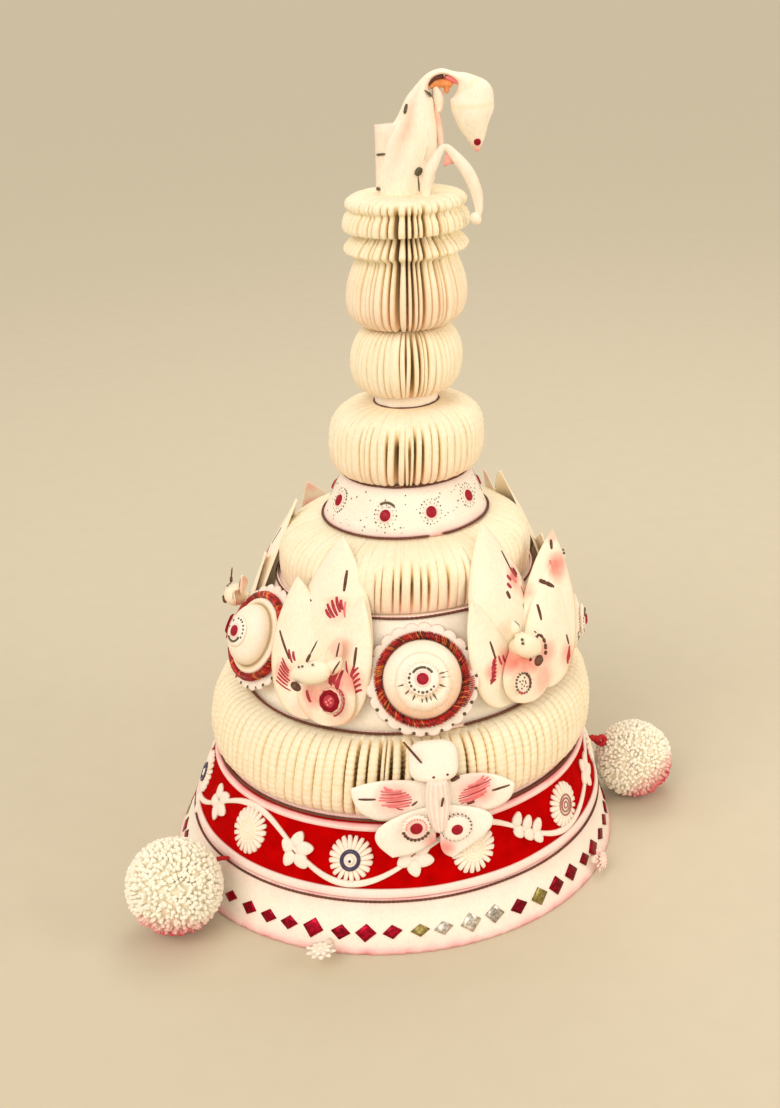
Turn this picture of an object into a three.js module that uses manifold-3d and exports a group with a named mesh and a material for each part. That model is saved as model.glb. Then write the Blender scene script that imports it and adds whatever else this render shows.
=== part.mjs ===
// A wedding topor, the tall white groom's hat of carved pith, built as one stack of separate pieces.
// Sizes are millimetres, +Z is up, the front faces -Y, and the origin is the centre of the head opening
// on the plane that the rim rests on. Angles are degrees round the hat from the front, positive to +X.

import * as THREE from 'three';
import { mergeVertices } from 'three/addons/utils/BufferGeometryUtils.js';
import Module from 'manifold-3d';

const wasm = await Module();
wasm.setup();

// Clearance between neighbouring pieces.
const GAP = 0.3;

// Seams of the conical wall, from the rim up to the collar.
const RIM = { radius: 111, height: 0 };
const BAND_BOTTOM = { radius: 101.7, height: 24.4 };
const BAND_TOP = { radius: 89.7, height: 58.4 };
const DRUM_BOTTOM = { radius: 77.2, height: 94.9 };
const DRUM_TOP = { radius: 61, height: 145 };
const COLLAR_BOTTOM = { radius: 39.2, height: 174 };
const COLLAR_TOP = { radius: 29.5, height: 195.8 };

// Walls, trims and the number of flat sides that a round tier is turned with.
const BAND_WALL = 3;
const DRUM_WALL = 2.5;
const COLLAR_WALL = 2;
const SKIRT_RADIUS = 72.6;
const CORD = 1.4;
const EDGING = 1;
const EDGING_HEIGHT = 3.4;
const WIDE_SIDES = 32;
const SLIM_SIDES = 24;

// The stack was tied by hand and wanders sideways as it rises.
const LEAN_SLOPE = 0.0998;
const LEAN_EASE = 0.0001014;

// The upper stack: neck, small ring, urn.
const NECK = { radius: 14.6, bottom: 224.3, top: 233 };
const URN_BOTTOM = 264.2;
const URN_TOP = 321;

// Medallions and birds take turns round the drum.
const FIGURES = 5;
const FIRST_MEDALLION = 6.5;
const FIRST_BIRD = -29.5;
const MEDALLION_HEIGHT = 117;
const MEDALLION_SIDES = 16;
const BIRD_HEIGHT = 104;
const TAIL_PETAL = { length: 79, width: 36, rise: 0.7, bow: 6.4 };
const WING_PETAL = { length: 50, width: 24, rise: 2.8, bow: 5.6 };
const WING_TILT = 24;
const BODY_STANDOFF = 13.9;

// Daisies stand closer together at the front of the red band than at the back.
const DAISIES = 10;
const FRONT_DAISIES = 4;
const FIRST_DAISY = -48.4;
const FRONT_STEP = 33.67;
const VINE_HEIGHT = 41.5;
const VINE_SWING = 10;
const DAISY_RADIUS = 10;
const LEAF = { long: 3.4, wide: 1.9 };

// How far the vine's layers stand off the cloth, back and front.
const STEM_LAYER = { back: 0.5, front: 2.1 };
const LEAF_LAYER = { back: 0.65, front: 1.65 };
const DAISY_LAYER = { back: 0.7, front: 2.3 };

const POMPOMS = {
  left: { radius: 24.4, at: [-102.5, -81.4] },
  right: { radius: 20.4, at: [127, 15] },
};
const BUTTERFLY = { angle: 7.7, height: 68, radius: 94.9 };
const TIE_HEIGHT = 32;
const TIE_RADIUS = 1.6;
const RIM_FLOWERS = { left: -17.8, right: 60 };
const RIM_FLOWER_HEIGHT = 6.2;

const PITH = { color: 0xf6ead0, roughness: 0.85 };
const PALE = { color: 0xfbf3e6, roughness: 0.8 };
const CORD_BROWN = { color: 0x5a2c1e, roughness: 0.8 };
const CLOTH_RED = { color: 0xc01010, roughness: 0.75 };
const SEQUIN_RED = { color: 0xa32018, roughness: 0.35 };
const POMPOM_CREAM = { color: 0xf7e3c0, roughness: 0.95 };

const radians = THREE.MathUtils.degToRad;
const group = new THREE.Group();

function leanAt(height) {
  return LEAN_SLOPE * height - LEAN_EASE * height * height;
}

// The outside radius of the wall between two seams at a height.
function radiusBetween(low, high, height) {
  const share = (height - low.height) / (high.height - low.height);
  return low.radius + share * (high.radius - low.radius);
}

// Welds a geometry's corners, drops its empty triangles and turns its faces outward.
function closed(geometry) {
  geometry.deleteAttribute('normal');
  geometry.deleteAttribute('uv');
  const welded = mergeVertices(geometry, 1e-4);
  const place = welded.getAttribute('position');
  const corners = welded.getIndex().array;
  const kept = [];
  let volume = 0;
  const [a, b, c] = [new THREE.Vector3(), new THREE.Vector3(), new THREE.Vector3()];
  for (let i = 0; i < corners.length; i += 3) {
    const [p, q, r] = [corners[i], corners[i + 1], corners[i + 2]];
    if (p !== q && q !== r && r !== p) {
      a.fromBufferAttribute(place, p);
      b.fromBufferAttribute(place, q);
      c.fromBufferAttribute(place, r);
      volume += a.dot(b.cross(c));
      kept.push(p, q, r);
    }
  }
  welded.setIndex(volume < 0 ? kept.reverse() : kept);
  return welded;
}

// Turns a closed outline of [radius, height] rows about the Z axis.
function turned(outline, sides) {
  const points = outline.map(([radius, height]) => new THREE.Vector2(radius, height));
  if (outline[0][0] > 0) {
    points.push(points[0].clone());
  }
  return closed(new THREE.LatheGeometry(points, sides).rotateX(Math.PI / 2));
}

// Moves each corner sideways by the lean at its own height, so level rings stay level.
function leaned(geometry) {
  const place = geometry.getAttribute('position');
  for (let i = 0; i < place.count; i += 1) {
    place.setX(i, place.getX(i) + leanAt(place.getZ(i)));
  }
  return geometry;
}

function add(parent, name, geometry, finish) {
  const material = new THREE.MeshStandardMaterial({ ...finish, metalness: 0 });
  const mesh = new THREE.Mesh(geometry, material);
  mesh.name = name;
  parent.add(mesh);
  return mesh;
}

// A plain conical wall between two seams.
function coneWall(low, high, thickness, sides) {
  const slope = Math.atan2(low.radius - high.radius, high.height - low.height);
  const inward = thickness / Math.cos(slope);
  return leaned(turned([
    [low.radius, low.height],
    [high.radius, high.height],
    [high.radius - inward, high.height],
    [low.radius - inward, low.height],
  ], sides));
}

// A flat band laid on the outside of a conical wall between two heights.
function bandOn(low, high, bottom, top, thickness, sides) {
  const lower = radiusBetween(low, high, bottom) + GAP;
  const upper = radiusBetween(low, high, top) + GAP;
  return leaned(turned([
    [lower + thickness, bottom],
    [upper + thickness, top],
    [upper, top],
    [lower, bottom],
  ], sides));
}

function cordOn(low, high, height, sides) {
  return bandOn(low, high, height - CORD / 2, height + CORD / 2, CORD, sides);
}

// Where a point on a leaning conical wall lies.
function wallPoint(low, high, angle, height, standoff = 0) {
  const radius = radiusBetween(low, high, height) + standoff;
  const turn = radians(angle);
  return new THREE.Vector3(
    leanAt(height) + radius * Math.sin(turn),
    -radius * Math.cos(turn),
    height,
  );
}

// A group that sits on the wall: its X runs round to the right, its Y up the wall, its Z straight out.
function seatOn(low, high, angle, height) {
  const seat = new THREE.Group();
  const here = wallPoint(low, high, angle, height);
  const across = new THREE.Vector3(Math.cos(radians(angle)), Math.sin(radians(angle)), 0);
  const up = wallPoint(low, high, angle, height + 1).sub(here);
  const out = new THREE.Vector3().crossVectors(across, up).normalize();
  up.crossVectors(out, across);
  seat.position.copy(here);
  seat.quaternion.setFromRotationMatrix(new THREE.Matrix4().makeBasis(across, up, out));
  group.add(seat);
  return seat;
}

function toManifold(geometry) {
  const vertProperties = new Float32Array(geometry.getAttribute('position').array);
  const triVerts = new Uint32Array(geometry.getIndex().array);
  return new wasm.Manifold(new wasm.Mesh({ numProp: 3, vertProperties, triVerts }));
}

// Joins overlapping closed shapes into one.
function joined(geometries) {
  const whole = geometries.map(toManifold).reduce((sum, next) => sum.add(next));
  const result = whole.getMesh();
  const geometry = new THREE.BufferGeometry();
  geometry.setAttribute('position', new THREE.BufferAttribute(result.vertProperties, 3));
  geometry.setIndex(new THREE.BufferAttribute(result.triVerts, 1));
  return geometry;
}

// Skins rows that are closed loops of points. The last row meets the first in a ring, or else both
// end rows are closed with a fan.
function skinned(rows, ring = false) {
  const round = rows[0].length;
  const corners = rows.flat();
  const faces = [];
  const spans = ring ? rows.length : rows.length - 1;
  for (let row = 0; row < spans; row += 1) {
    const here = row * round;
    const next = ((row + 1) % rows.length) * round;
    for (let i = 0; i < round; i += 1) {
      const j = (i + 1) % round;
      faces.push(here + i, here + j, next + j, here + i, next + j, next + i);
    }
  }
  const last = (rows.length - 1) * round;
  for (let i = 1; i + 1 < round && !ring; i += 1) {
    faces.push(0, i + 1, i, last, last + i, last + i + 1);
  }
  const geometry = new THREE.BufferGeometry();
  const numbers = corners.flatMap((corner) => corner.toArray());
  geometry.setAttribute('position', new THREE.Float32BufferAttribute(numbers, 3));
  geometry.setIndex(faces);
  return closed(geometry);
}

// A round body swept along a list of { at, wide, deep } stations: wide across the bend, deep sideways.
function bodyAlong(stations, sides, sideways = new THREE.Vector3(0, 1, 0)) {
  const rows = stations.map((station, i) => {
    const before = stations[Math.max(i - 1, 0)].at;
    const after = stations[Math.min(i + 1, stations.length - 1)].at;
    const ahead = after.clone().sub(before).normalize();
    const across = new THREE.Vector3().crossVectors(sideways, ahead).normalize();
    const row = [];
    for (let k = 0; k < sides; k += 1) {
      const turn = (2 * Math.PI * k) / sides;
      const point = station.at.clone();
      point.addScaledVector(across, station.wide * Math.cos(turn));
      point.addScaledVector(sideways, station.deep * Math.sin(turn));
      row.push(point);
    }
    return row;
  });
  return skinned(rows);
}

// A pointed petal of thin pith: it grows along +Y from the origin and bows away along +Z.
function petal({ length, width, rise, bow, tilt = 0 }) {
  const steps = 4;
  const thickness = 1.2;
  const rows = [];
  for (let step = 0; step <= steps; step += 1) {
    const share = step / steps;
    const half = 0.5 * width * Math.sin(Math.PI * (0.12 + 0.85 * share) ** 0.8);
    const out = rise + bow * share;
    const along = length * share;
    rows.push([
      new THREE.Vector3(-half, along, out - 0.06 * half),
      new THREE.Vector3(0, along, out),
      new THREE.Vector3(half, along, out - 0.06 * half),
      new THREE.Vector3(half, along, out + thickness - 0.06 * half),
      new THREE.Vector3(0, along, out + thickness),
      new THREE.Vector3(-half, along, out + thickness - 0.06 * half),
    ]);
  }
  return skinned(rows).rotateZ(radians(-tilt));
}

// The cream rim band and the red cloth band above it, with the cords and edgings on their seams.
function buildBands() {
  add(group, 'base_band', coneWall(RIM, BAND_BOTTOM, BAND_WALL, WIDE_SIDES), PALE);
  const cloth = { radius: BAND_BOTTOM.radius, height: BAND_BOTTOM.height + GAP };
  add(group, 'red_band', coneWall(cloth, BAND_TOP, BAND_WALL, WIDE_SIDES), CLOTH_RED);
  add(group, 'rim_cord', cordOn(RIM, BAND_BOTTOM, BAND_BOTTOM.height - CORD, WIDE_SIDES), CORD_BROWN);
  const bottom = cloth.height + 1;
  const top = BAND_TOP.height - CORD - 2 * GAP;
  const lower = bandOn(cloth, BAND_TOP, bottom, bottom + EDGING_HEIGHT, EDGING, WIDE_SIDES);
  const upper = bandOn(cloth, BAND_TOP, top - EDGING_HEIGHT, top, EDGING, WIDE_SIDES);
  add(group, 'lower_edging', lower, PALE);
  add(group, 'upper_edging', upper, PALE);
  add(group, 'band_top_cord', cordOn(cloth, BAND_TOP, BAND_TOP.height - CORD / 2, WIDE_SIDES), CORD_BROWN);
}

// The angle of a daisy, and of any point between two daisies.
function daisyAngle(index) {
  const front = Math.min(index, FRONT_DAISIES - 1);
  const backStep = (360 - (FRONT_DAISIES - 1) * FRONT_STEP) / (DAISIES - FRONT_DAISIES + 1);
  return FIRST_DAISY + front * FRONT_STEP + (index - front) * backStep;
}

function vineHeight(index) {
  return VINE_HEIGHT + VINE_SWING * Math.cos(Math.PI * index);
}

// A thin plate that follows the red band, from an outline of [angle, height] rows. A wide plate is
// fanned from its middle, so that it bends round the band.
function reliefPlate(outline, { back, front }, wide = false) {
  const middle = [0, 1].map((k) => outline.reduce((sum, row) => sum + row[k], 0) / outline.length);
  const middles = outline.map(() => middle);
  const layer = (rows, standoff) => rows.map(
    ([angle, height]) => wallPoint(BAND_BOTTOM, BAND_TOP, angle, height, standoff),
  );
  const rows = [layer(outline, back), layer(outline, front)];
  return skinned(wide ? [layer(middles, back), ...rows, layer(middles, front)] : rows);
}

function oval(angle, height, long, wide, tilt, corners) {
  const outline = [];
  const perDegree = radians(1) * radiusBetween(BAND_BOTTOM, BAND_TOP, height);
  for (let i = 0; i < corners; i += 1) {
    const turn = (2 * Math.PI * i) / corners;
    const along = long * Math.cos(turn);
    const across = wide * Math.sin(turn);
    const right = along * Math.cos(radians(tilt)) - across * Math.sin(radians(tilt));
    const up = along * Math.sin(radians(tilt)) + across * Math.cos(radians(tilt));
    outline.push([angle + right / perDegree, height + up]);
  }
  return outline;
}

// A leaf with its foot on the stem, turned by an angle from level.
function leaf(index, tilt) {
  const height = vineHeight(index) + LEAF.long * Math.sin(radians(tilt));
  const perDegree = radians(1) * radiusBetween(BAND_BOTTOM, BAND_TOP, height);
  const angle = daisyAngle(index) + (LEAF.long * Math.cos(radians(tilt))) / perDegree;
  return reliefPlate(oval(angle, height, LEAF.long, LEAF.wide, tilt, 4), LEAF_LAYER);
}

// The vine's stem: one thin strip that winds right round the band.
function stem() {
  const half = 0.9;
  const stepsPerDaisy = 4;
  const { back, front } = STEM_LAYER;
  const rows = [];
  for (let step = 0; step < DAISIES * stepsPerDaisy; step += 1) {
    const index = step / stepsPerDaisy;
    const edges = [[-half, back], [half, back], [half, front], [-half, front]];
    rows.push(edges.map(([up, out]) => wallPoint(
      BAND_BOTTOM, BAND_TOP, daisyAngle(index), vineHeight(index) + up, out,
    )));
  }
  return skinned(rows, true);
}

// The white vine on the red band: the stem passes over and under the daisies, with leaves on it.
function buildVine() {
  const shapes = [stem()];
  for (let i = 0; i < DAISIES; i += 1) {
    const daisy = oval(daisyAngle(i), VINE_HEIGHT, DAISY_RADIUS, DAISY_RADIUS, 0, 8);
    shapes.push(reliefPlate(daisy, DAISY_LAYER, true));
    for (const share of [0.36, 0.64]) {
      shapes.push(leaf(i + share, 62));
      shapes.push(leaf(i + share, -38));
    }
  }
  add(group, 'vine', joined(shapes), PALE);
}

// The large pleated ring lies on the red band's top edge, and the drum's skirt stands inside it.
function buildDrum() {
  const seat = BAND_TOP.height + GAP;
  const top = DRUM_BOTTOM.height - GAP;
  const inner = SKIRT_RADIUS + GAP;
  add(group, 'pleated_ring_1', leaned(turned([
    [inner, seat],
    [88.4, seat],
    [92.6, 62],
    [94.4, 68],
    [94.1, 74],
    [91.6, 82],
    [87, 89],
    [80, top],
    [inner, top],
  ], WIDE_SIDES)), PITH);
  const skirtInside = SKIRT_RADIUS - DRUM_WALL;
  const roofInside = DRUM_TOP.height - DRUM_WALL;
  const taperStarts = DRUM_BOTTOM.height + 13.6;
  add(group, 'drum', leaned(turned([
    [0, DRUM_TOP.height],
    [DRUM_TOP.radius, DRUM_TOP.height],
    [DRUM_BOTTOM.radius, DRUM_BOTTOM.height],
    [SKIRT_RADIUS, DRUM_BOTTOM.height],
    [SKIRT_RADIUS, seat],
    [skirtInside, seat],
    [skirtInside, taperStarts],
    [radiusBetween(DRUM_BOTTOM, DRUM_TOP, roofInside) - DRUM_WALL, roofInside],
    [0, roofInside],
  ], WIDE_SIDES)), PALE);
  const lowerCord = cordOn(DRUM_BOTTOM, DRUM_TOP, DRUM_BOTTOM.height + CORD, WIDE_SIDES);
  const upperCord = cordOn(DRUM_BOTTOM, DRUM_TOP, DRUM_TOP.height - CORD, WIDE_SIDES);
  add(group, 'drum_lower_cord', lowerCord, CORD_BROWN);
  add(group, 'drum_upper_cord', upperCord, CORD_BROWN);
}

// A medallion: a scalloped card on a stub, a sequin ring, and a pleated dome with a boss at its tip.
function buildMedallion(number) {
  const angle = FIRST_MEDALLION + (360 / FIGURES) * (number - 1);
  const seat = seatOn(DRUM_BOTTOM, DRUM_TOP, angle, MEDALLION_HEIGHT);
  // Outlines are [radius, distance out from the wall] rows.
  const card = [[0, 0.5], [9, 0.5], [9, 4.2], [24.8, 4.2], [24.8, 6.4], [0, 6.4]];
  const sequins = [[17.6, 6.7], [21.8, 6.7], [21.8, 9.2], [17.6, 9.2]];
  const dome = [[0, 6.7], [17, 6.7], [17.3, 10], [14.5, 15], [8, 18.4], [6.8, 20.6], [3, 21.8], [0, 21.8]];
  add(seat, `medallion_card_${number}`, turned(card, MEDALLION_SIDES), PALE);
  add(seat, `medallion_ring_${number}`, turned(sequins, MEDALLION_SIDES), SEQUIN_RED);
  add(seat, `medallion_dome_${number}`, turned(dome, MEDALLION_SIDES), PITH);
}

// A bird: three tall petals fixed to the drum and a round body with its beak in front of them.
function buildBird(number) {
  const angle = FIRST_BIRD + (360 / FIGURES) * (number - 1);
  const facing = number === 1 || number === FIGURES ? -1 : 1;
  const seat = seatOn(DRUM_BOTTOM, DRUM_TOP, angle, BIRD_HEIGHT);
  const root = turned([[0, 1], [4.5, 1], [4.5, 4.4], [0, 4.4]], 8).translate(0, 5, 0);
  add(seat, `bird_petals_${number}`, joined([
    root,
    petal(TAIL_PETAL),
    petal({ ...WING_PETAL, tilt: WING_TILT }),
    petal({ ...WING_PETAL, tilt: -WING_TILT }),
  ]), PALE);
  const middle = new THREE.Vector3(0, 22, BODY_STANDOFF);
  const along = new THREE.Vector3(facing, -0.75, 0.15).normalize();
  // Distance along the body from its middle, and half width there.
  const station = (distance, wide) => ({
    at: middle.clone().addScaledVector(along, distance), wide, deep: wide * 0.95,
  });
  const body = [station(-9.6, 1.2), station(-8, 5), station(-3, 7.4), station(3, 7), station(7.5, 4.2),
    station(10, 2.2), station(13, 0.8)];
  add(seat, `bird_body_${number}`, bodyAlong(body, 8, new THREE.Vector3(0, 0, 1)), PITH);
}

// The middle pleated ring lies on the drum's roof and carries the dotted collar.
function buildShoulder() {
  const bottom = DRUM_TOP.height + GAP;
  const top = COLLAR_BOTTOM.height - GAP;
  add(group, 'pleated_ring_2', leaned(turned([
    [0, bottom],
    [53, bottom],
    [58.5, 150],
    [60.6, 156],
    [59.4, 163],
    [54, 169],
    [46, 172.6],
    [38, top],
    [0, top],
  ], WIDE_SIDES)), PITH);
  add(group, 'collar', coneWall(COLLAR_BOTTOM, COLLAR_TOP, COLLAR_WALL, SLIM_SIDES), PALE);
  const lowerCord = cordOn(COLLAR_BOTTOM, COLLAR_TOP, COLLAR_BOTTOM.height + CORD, SLIM_SIDES);
  const upperCord = cordOn(COLLAR_BOTTOM, COLLAR_TOP, COLLAR_TOP.height - CORD, SLIM_SIDES);
  add(group, 'collar_lower_cord', lowerCord, CORD_BROWN);
  add(group, 'collar_upper_cord', upperCord, CORD_BROWN);
}

// The slim top of the stack: two pleated rings with a neck between them, then the frilled urn.
function buildSpire() {
  const ringBottom = COLLAR_TOP.height + GAP;
  const ringTop = NECK.bottom - GAP;
  add(group, 'pleated_ring_3', leaned(turned([
    [0, ringBottom],
    [28, ringBottom],
    [34.2, 201],
    [36.8, 209],
    [34.6, 216],
    [28, 221.6],
    [18, ringTop],
    [0, ringTop],
  ], SLIM_SIDES)), PITH);
  const neckOutline = [[0, NECK.bottom], [NECK.radius, NECK.bottom], [NECK.radius, NECK.top], [0, NECK.top]];
  add(group, 'neck', leaned(turned(neckOutline, SLIM_SIDES)), PALE);
  const neckCord = cordOn(
    { radius: NECK.radius, height: NECK.bottom },
    { radius: NECK.radius, height: NECK.top },
    NECK.bottom + 4,
    SLIM_SIDES,
  );
  add(group, 'neck_cord', neckCord, CORD_BROWN);
  const smallBottom = NECK.top + GAP;
  const smallTop = URN_BOTTOM - GAP;
  add(group, 'pleated_ring_4', leaned(turned([
    [0, smallBottom],
    [16, smallBottom],
    [23.4, 238],
    [26.2, 246],
    [25.4, 255],
    [20.4, 261.6],
    [16, smallTop],
    [0, smallTop],
  ], SLIM_SIDES)), PITH);
  add(group, 'urn', leaned(turned([
    [0, URN_BOTTOM],
    [15, URN_BOTTOM],
    [21.5, 267],
    [26, 273],
    [27.6, 281],
    [26.4, 289],
    [23.8, 298.4],
    [27.4, 300.8],
    [22.8, 307.2],
    [27.8, 310.8],
    [24.8, 316.2],
    [26.6, 318.6],
    [20, 319.6],
    [0, URN_TOP],
  ], SLIM_SIDES)), PITH);
}

// The bird on top: a square-tailed body, a long neck bent over, and a drooping head.
function buildFinial() {
  const perch = new THREE.Group();
  perch.position.set(leanAt(URN_TOP), 0, URN_TOP);
  group.add(perch);
  // Sideways, up, half width and half depth.
  const station = (x, z, wide, deep) => ({ at: new THREE.Vector3(x, 0, z), wide, deep });
  const body = bodyAlong([
    station(-1, GAP, 11, 9),
    station(-0.5, 8, 13.5, 10),
    station(1, 18, 13.5, 10),
    station(4.5, 30, 10.5, 8.5),
    station(8.5, 41, 6.6, 6),
    station(13.5, 48.6, 3.6, 4.4),
    station(20, 52, 2.6, 4),
    station(26.4, 50, 4, 4.8),
    station(29.8, 42, 8, 7),
    station(31, 32, 8.2, 7),
    station(32, 22, 4.6, 4),
    station(32.6, 16, 1, 1),
  ], 10);
  const tail = closed(new THREE.BoxGeometry(9.5, 9, 15)).translate(-8.6, 0, 23.5);
  add(perch, 'finial_bird', joined([body, tail]), PITH);
  const stripFront = -13;
  const strip = (x, z) => ({ at: new THREE.Vector3(x, stripFront, z), wide: 1.3, deep: 2.4 });
  add(perch, 'finial_strip', bodyAlong([
    strip(6, -0.2),
    strip(8.6, 7),
    strip(13.5, 16),
    strip(17.6, 21.6),
    strip(21.6, 18.6),
    strip(27, 11.6),
    strip(31.4, 1.4),
    strip(32.6, -7),
    strip(30.4, -11),
  ], 4), PALE);
}

// The butterfly on the front: a domed head, two pairs of wings and a body, in thin layers.
function buildButterfly() {
  const place = new THREE.Group();
  const angle = BUTTERFLY.angle;
  const plane = { radius: BUTTERFLY.radius, height: BUTTERFLY.height };
  place.position.copy(wallPoint(plane, BAND_TOP, angle, BUTTERFLY.height));
  place.rotation.set(Math.PI / 2, 0, 0);
  const turn = new THREE.Group();
  turn.rotation.y = radians(angle);
  place.add(turn);
  group.add(place);
  const wing = (side, root, tip, high, low, depth) => {
    const outline = new THREE.Shape();
    outline.moveTo(0, root[1] + root[0]);
    outline.quadraticCurveTo(side * high[0], high[1], side * tip[0], tip[1]);
    outline.quadraticCurveTo(side * low[0], low[1], 0, root[1] - root[0]);
    outline.closePath();
    const solid = new THREE.ExtrudeGeometry(outline, { depth: 1.2, bevelEnabled: false, curveSegments: 6 });
    return closed(solid.translate(0, 0, depth));
  };
  // Side, [half root, root height], then [sideways, up] of the tip and of the pull on each edge.
  const upper = [
    wing(-1, [5, 5], [38, 11.5], [16, 18], [22, -10], 0),
    wing(1, [5, 5], [36.5, 6], [18, 18], [24, -10], 0),
  ];
  const lower = [
    wing(-1, [7, -8], [22, -19], [20, -1], [10, -26], 1.6),
    wing(1, [7, -8], [21, -23], [20, -3], [10, -30], 1.6),
  ];
  add(turn, 'butterfly_upper_wings', joined(upper), PALE);
  add(turn, 'butterfly_lower_wings', joined(lower), PALE);
  const body = new THREE.CapsuleGeometry(3, 23.4, 2, 8).translate(0, 2.2, 6.2);
  add(turn, 'butterfly_body', closed(body), PITH);
  const head = turned([[0, 0], [8.6, 0], [8.6, 2.4], [5.5, 5], [0, 6]], MEDALLION_SIDES);
  add(turn, 'butterfly_head', head.rotateX(radians(-30)).translate(-0.6, 23.4, -1.4), PITH);
}

// The thread balls that lie beside the rim, each held to the red band by a short tie.
function buildPompom(side, { radius, at }) {
  const middle = new THREE.Vector3(at[0], at[1], radius);
  const ball = closed(new THREE.SphereGeometry(radius, 16, 10).rotateX(Math.PI / 2));
  add(group, `pompom_${side}`, ball, POMPOM_CREAM).position.copy(middle);
  const axis = new THREE.Vector3(leanAt(TIE_HEIGHT), 0, TIE_HEIGHT);
  const out = middle.clone().sub(axis).setZ(0);
  const above = TIE_HEIGHT - TIE_RADIUS - radius;
  const reach = out.length() - Math.sqrt(radius ** 2 - above ** 2);
  out.normalize();
  const from = radiusBetween(BAND_BOTTOM, BAND_TOP, TIE_HEIGHT - TIE_RADIUS) + GAP;
  const length = reach - GAP - from;
  const tie = closed(new THREE.CylinderGeometry(TIE_RADIUS, TIE_RADIUS, length, 8));
  const mesh = add(group, `pompom_tie_${side}`, tie, CLOTH_RED);
  mesh.quaternion.setFromUnitVectors(new THREE.Vector3(0, 1, 0), out);
  mesh.position.copy(axis.addScaledVector(out, from + length / 2));
}

// Small flowers on stubs at the lower edge of the rim.
function buildRimFlower(side, angle) {
  const seat = seatOn(RIM, BAND_BOTTOM, angle, RIM_FLOWER_HEIGHT);
  // [radius, distance out from the wall]
  const outline = [[0, 0.5], [2, 0.5], [2, 3.6], [5.8, 3.6], [5.8, 5.6], [3, 7], [0, 7.4]];
  add(seat, `rim_flower_${side}`, turned(outline, 12), PALE);
}

function build() {
  buildBands();
  buildVine();
  buildDrum();
  for (let number = 1; number <= FIGURES; number += 1) {
    buildMedallion(number);
    buildBird(number);
  }
  buildShoulder();
  buildSpire();
  buildFinial();
  buildButterfly();
  for (const [side, ball] of Object.entries(POMPOMS)) {
    buildPompom(side, ball);
  }
  for (const [side, angle] of Object.entries(RIM_FLOWERS)) {
    buildRimFlower(side, angle);
  }
}

build();

export default group;
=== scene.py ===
import math
import random
from collections import namedtuple
from math import cos, hypot, pi, radians, sin, sqrt
from random import uniform

import bmesh
import bpy
from mathutils import Matrix, Quaternion, Vector, noise


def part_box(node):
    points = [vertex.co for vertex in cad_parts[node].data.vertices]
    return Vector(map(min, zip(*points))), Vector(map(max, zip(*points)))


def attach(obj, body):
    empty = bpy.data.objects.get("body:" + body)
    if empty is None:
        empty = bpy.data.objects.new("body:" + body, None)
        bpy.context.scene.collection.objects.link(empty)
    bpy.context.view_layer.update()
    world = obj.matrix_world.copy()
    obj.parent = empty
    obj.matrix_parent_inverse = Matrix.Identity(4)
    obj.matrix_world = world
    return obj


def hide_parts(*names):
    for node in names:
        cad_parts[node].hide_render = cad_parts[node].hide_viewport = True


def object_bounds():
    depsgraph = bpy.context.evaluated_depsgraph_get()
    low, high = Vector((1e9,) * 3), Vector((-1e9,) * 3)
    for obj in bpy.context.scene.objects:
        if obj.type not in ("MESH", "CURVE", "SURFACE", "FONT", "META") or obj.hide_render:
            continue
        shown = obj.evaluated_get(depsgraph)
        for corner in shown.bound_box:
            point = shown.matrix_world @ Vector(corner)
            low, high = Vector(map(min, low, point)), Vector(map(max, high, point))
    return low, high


# A wedding topor: a tall hat of white pith tiers with a red band, pleated rings, medallions and birds.
# Lengths are written in millimetres, and become metres when a piece or a light is placed.
# Angles are degrees round the hat from its front, positive towards +X.
mm = 0.001
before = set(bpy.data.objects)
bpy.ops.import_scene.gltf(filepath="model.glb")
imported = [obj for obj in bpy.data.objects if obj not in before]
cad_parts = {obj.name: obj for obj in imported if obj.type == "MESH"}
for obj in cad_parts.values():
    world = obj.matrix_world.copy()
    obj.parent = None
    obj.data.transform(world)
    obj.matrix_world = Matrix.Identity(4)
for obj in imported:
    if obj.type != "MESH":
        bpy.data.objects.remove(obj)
cad_low, cad_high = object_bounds()
random.seed(17)

# ---- Camera ----
# The hat is looked at from the front and a little above, with the camera tipped slightly to one side.
camera_place = Vector((0, -700, 447)) * mm
camera_down = radians(22.94)
camera_yaw = radians(0.48)
camera_tip = radians(-3.28)
camera_data = bpy.data.cameras.new("camera")
camera_data.lens = 51.27
camera_data.clip_start = 0.05
camera = bpy.data.objects.new("camera", camera_data)
bpy.context.scene.collection.objects.link(camera)
bpy.context.scene.camera = camera
camera.location = camera_place
ahead = Vector((
    sin(camera_yaw) * cos(camera_down),
    cos(camera_yaw) * cos(camera_down),
    -sin(camera_down),
))
camera.rotation_mode = "QUATERNION"
camera.rotation_quaternion = ahead.to_track_quat("-Z", "Y") @ Quaternion((0, 0, 1), camera_tip)

# ---- Rim band ----
# The lowest tier is a cone of thin pith sheet, cream white, cut by hand and a little ragged where it stands.
# Its lower edge and the strip under the cord above it are pinker, and the inside of its wall is painted with
# shade.


Seam = namedtuple("Seam", "radius height shift")


def seam(node, upper):
    """Outer radius, height and sideways shift of a turned tier's lower or upper edge."""
    points = [vertex.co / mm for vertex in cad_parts[node].data.vertices]
    height = (max if upper else min)(point.z for point in points)
    across = [point.x for point in points if abs(point.z - height) < 0.1]
    return Seam((max(across) - min(across)) / 2, height, (max(across) + min(across)) / 2)


RIM = seam("base_band", False)
BAND_LOW = seam("base_band", True)
BAND_TOP = seam("red_band", True)
ROOF = seam("drum", True)
CAP = seam("urn", True)
lean_ease = (ROOF.shift / ROOF.height - CAP.shift / CAP.height) / (CAP.height - ROOF.height)
lean_slope = ROOF.shift / ROOF.height + lean_ease * ROOF.height


def lean(height):
    """How far the stack has wandered sideways at a height."""
    return lean_slope * height - lean_ease * height * height


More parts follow.
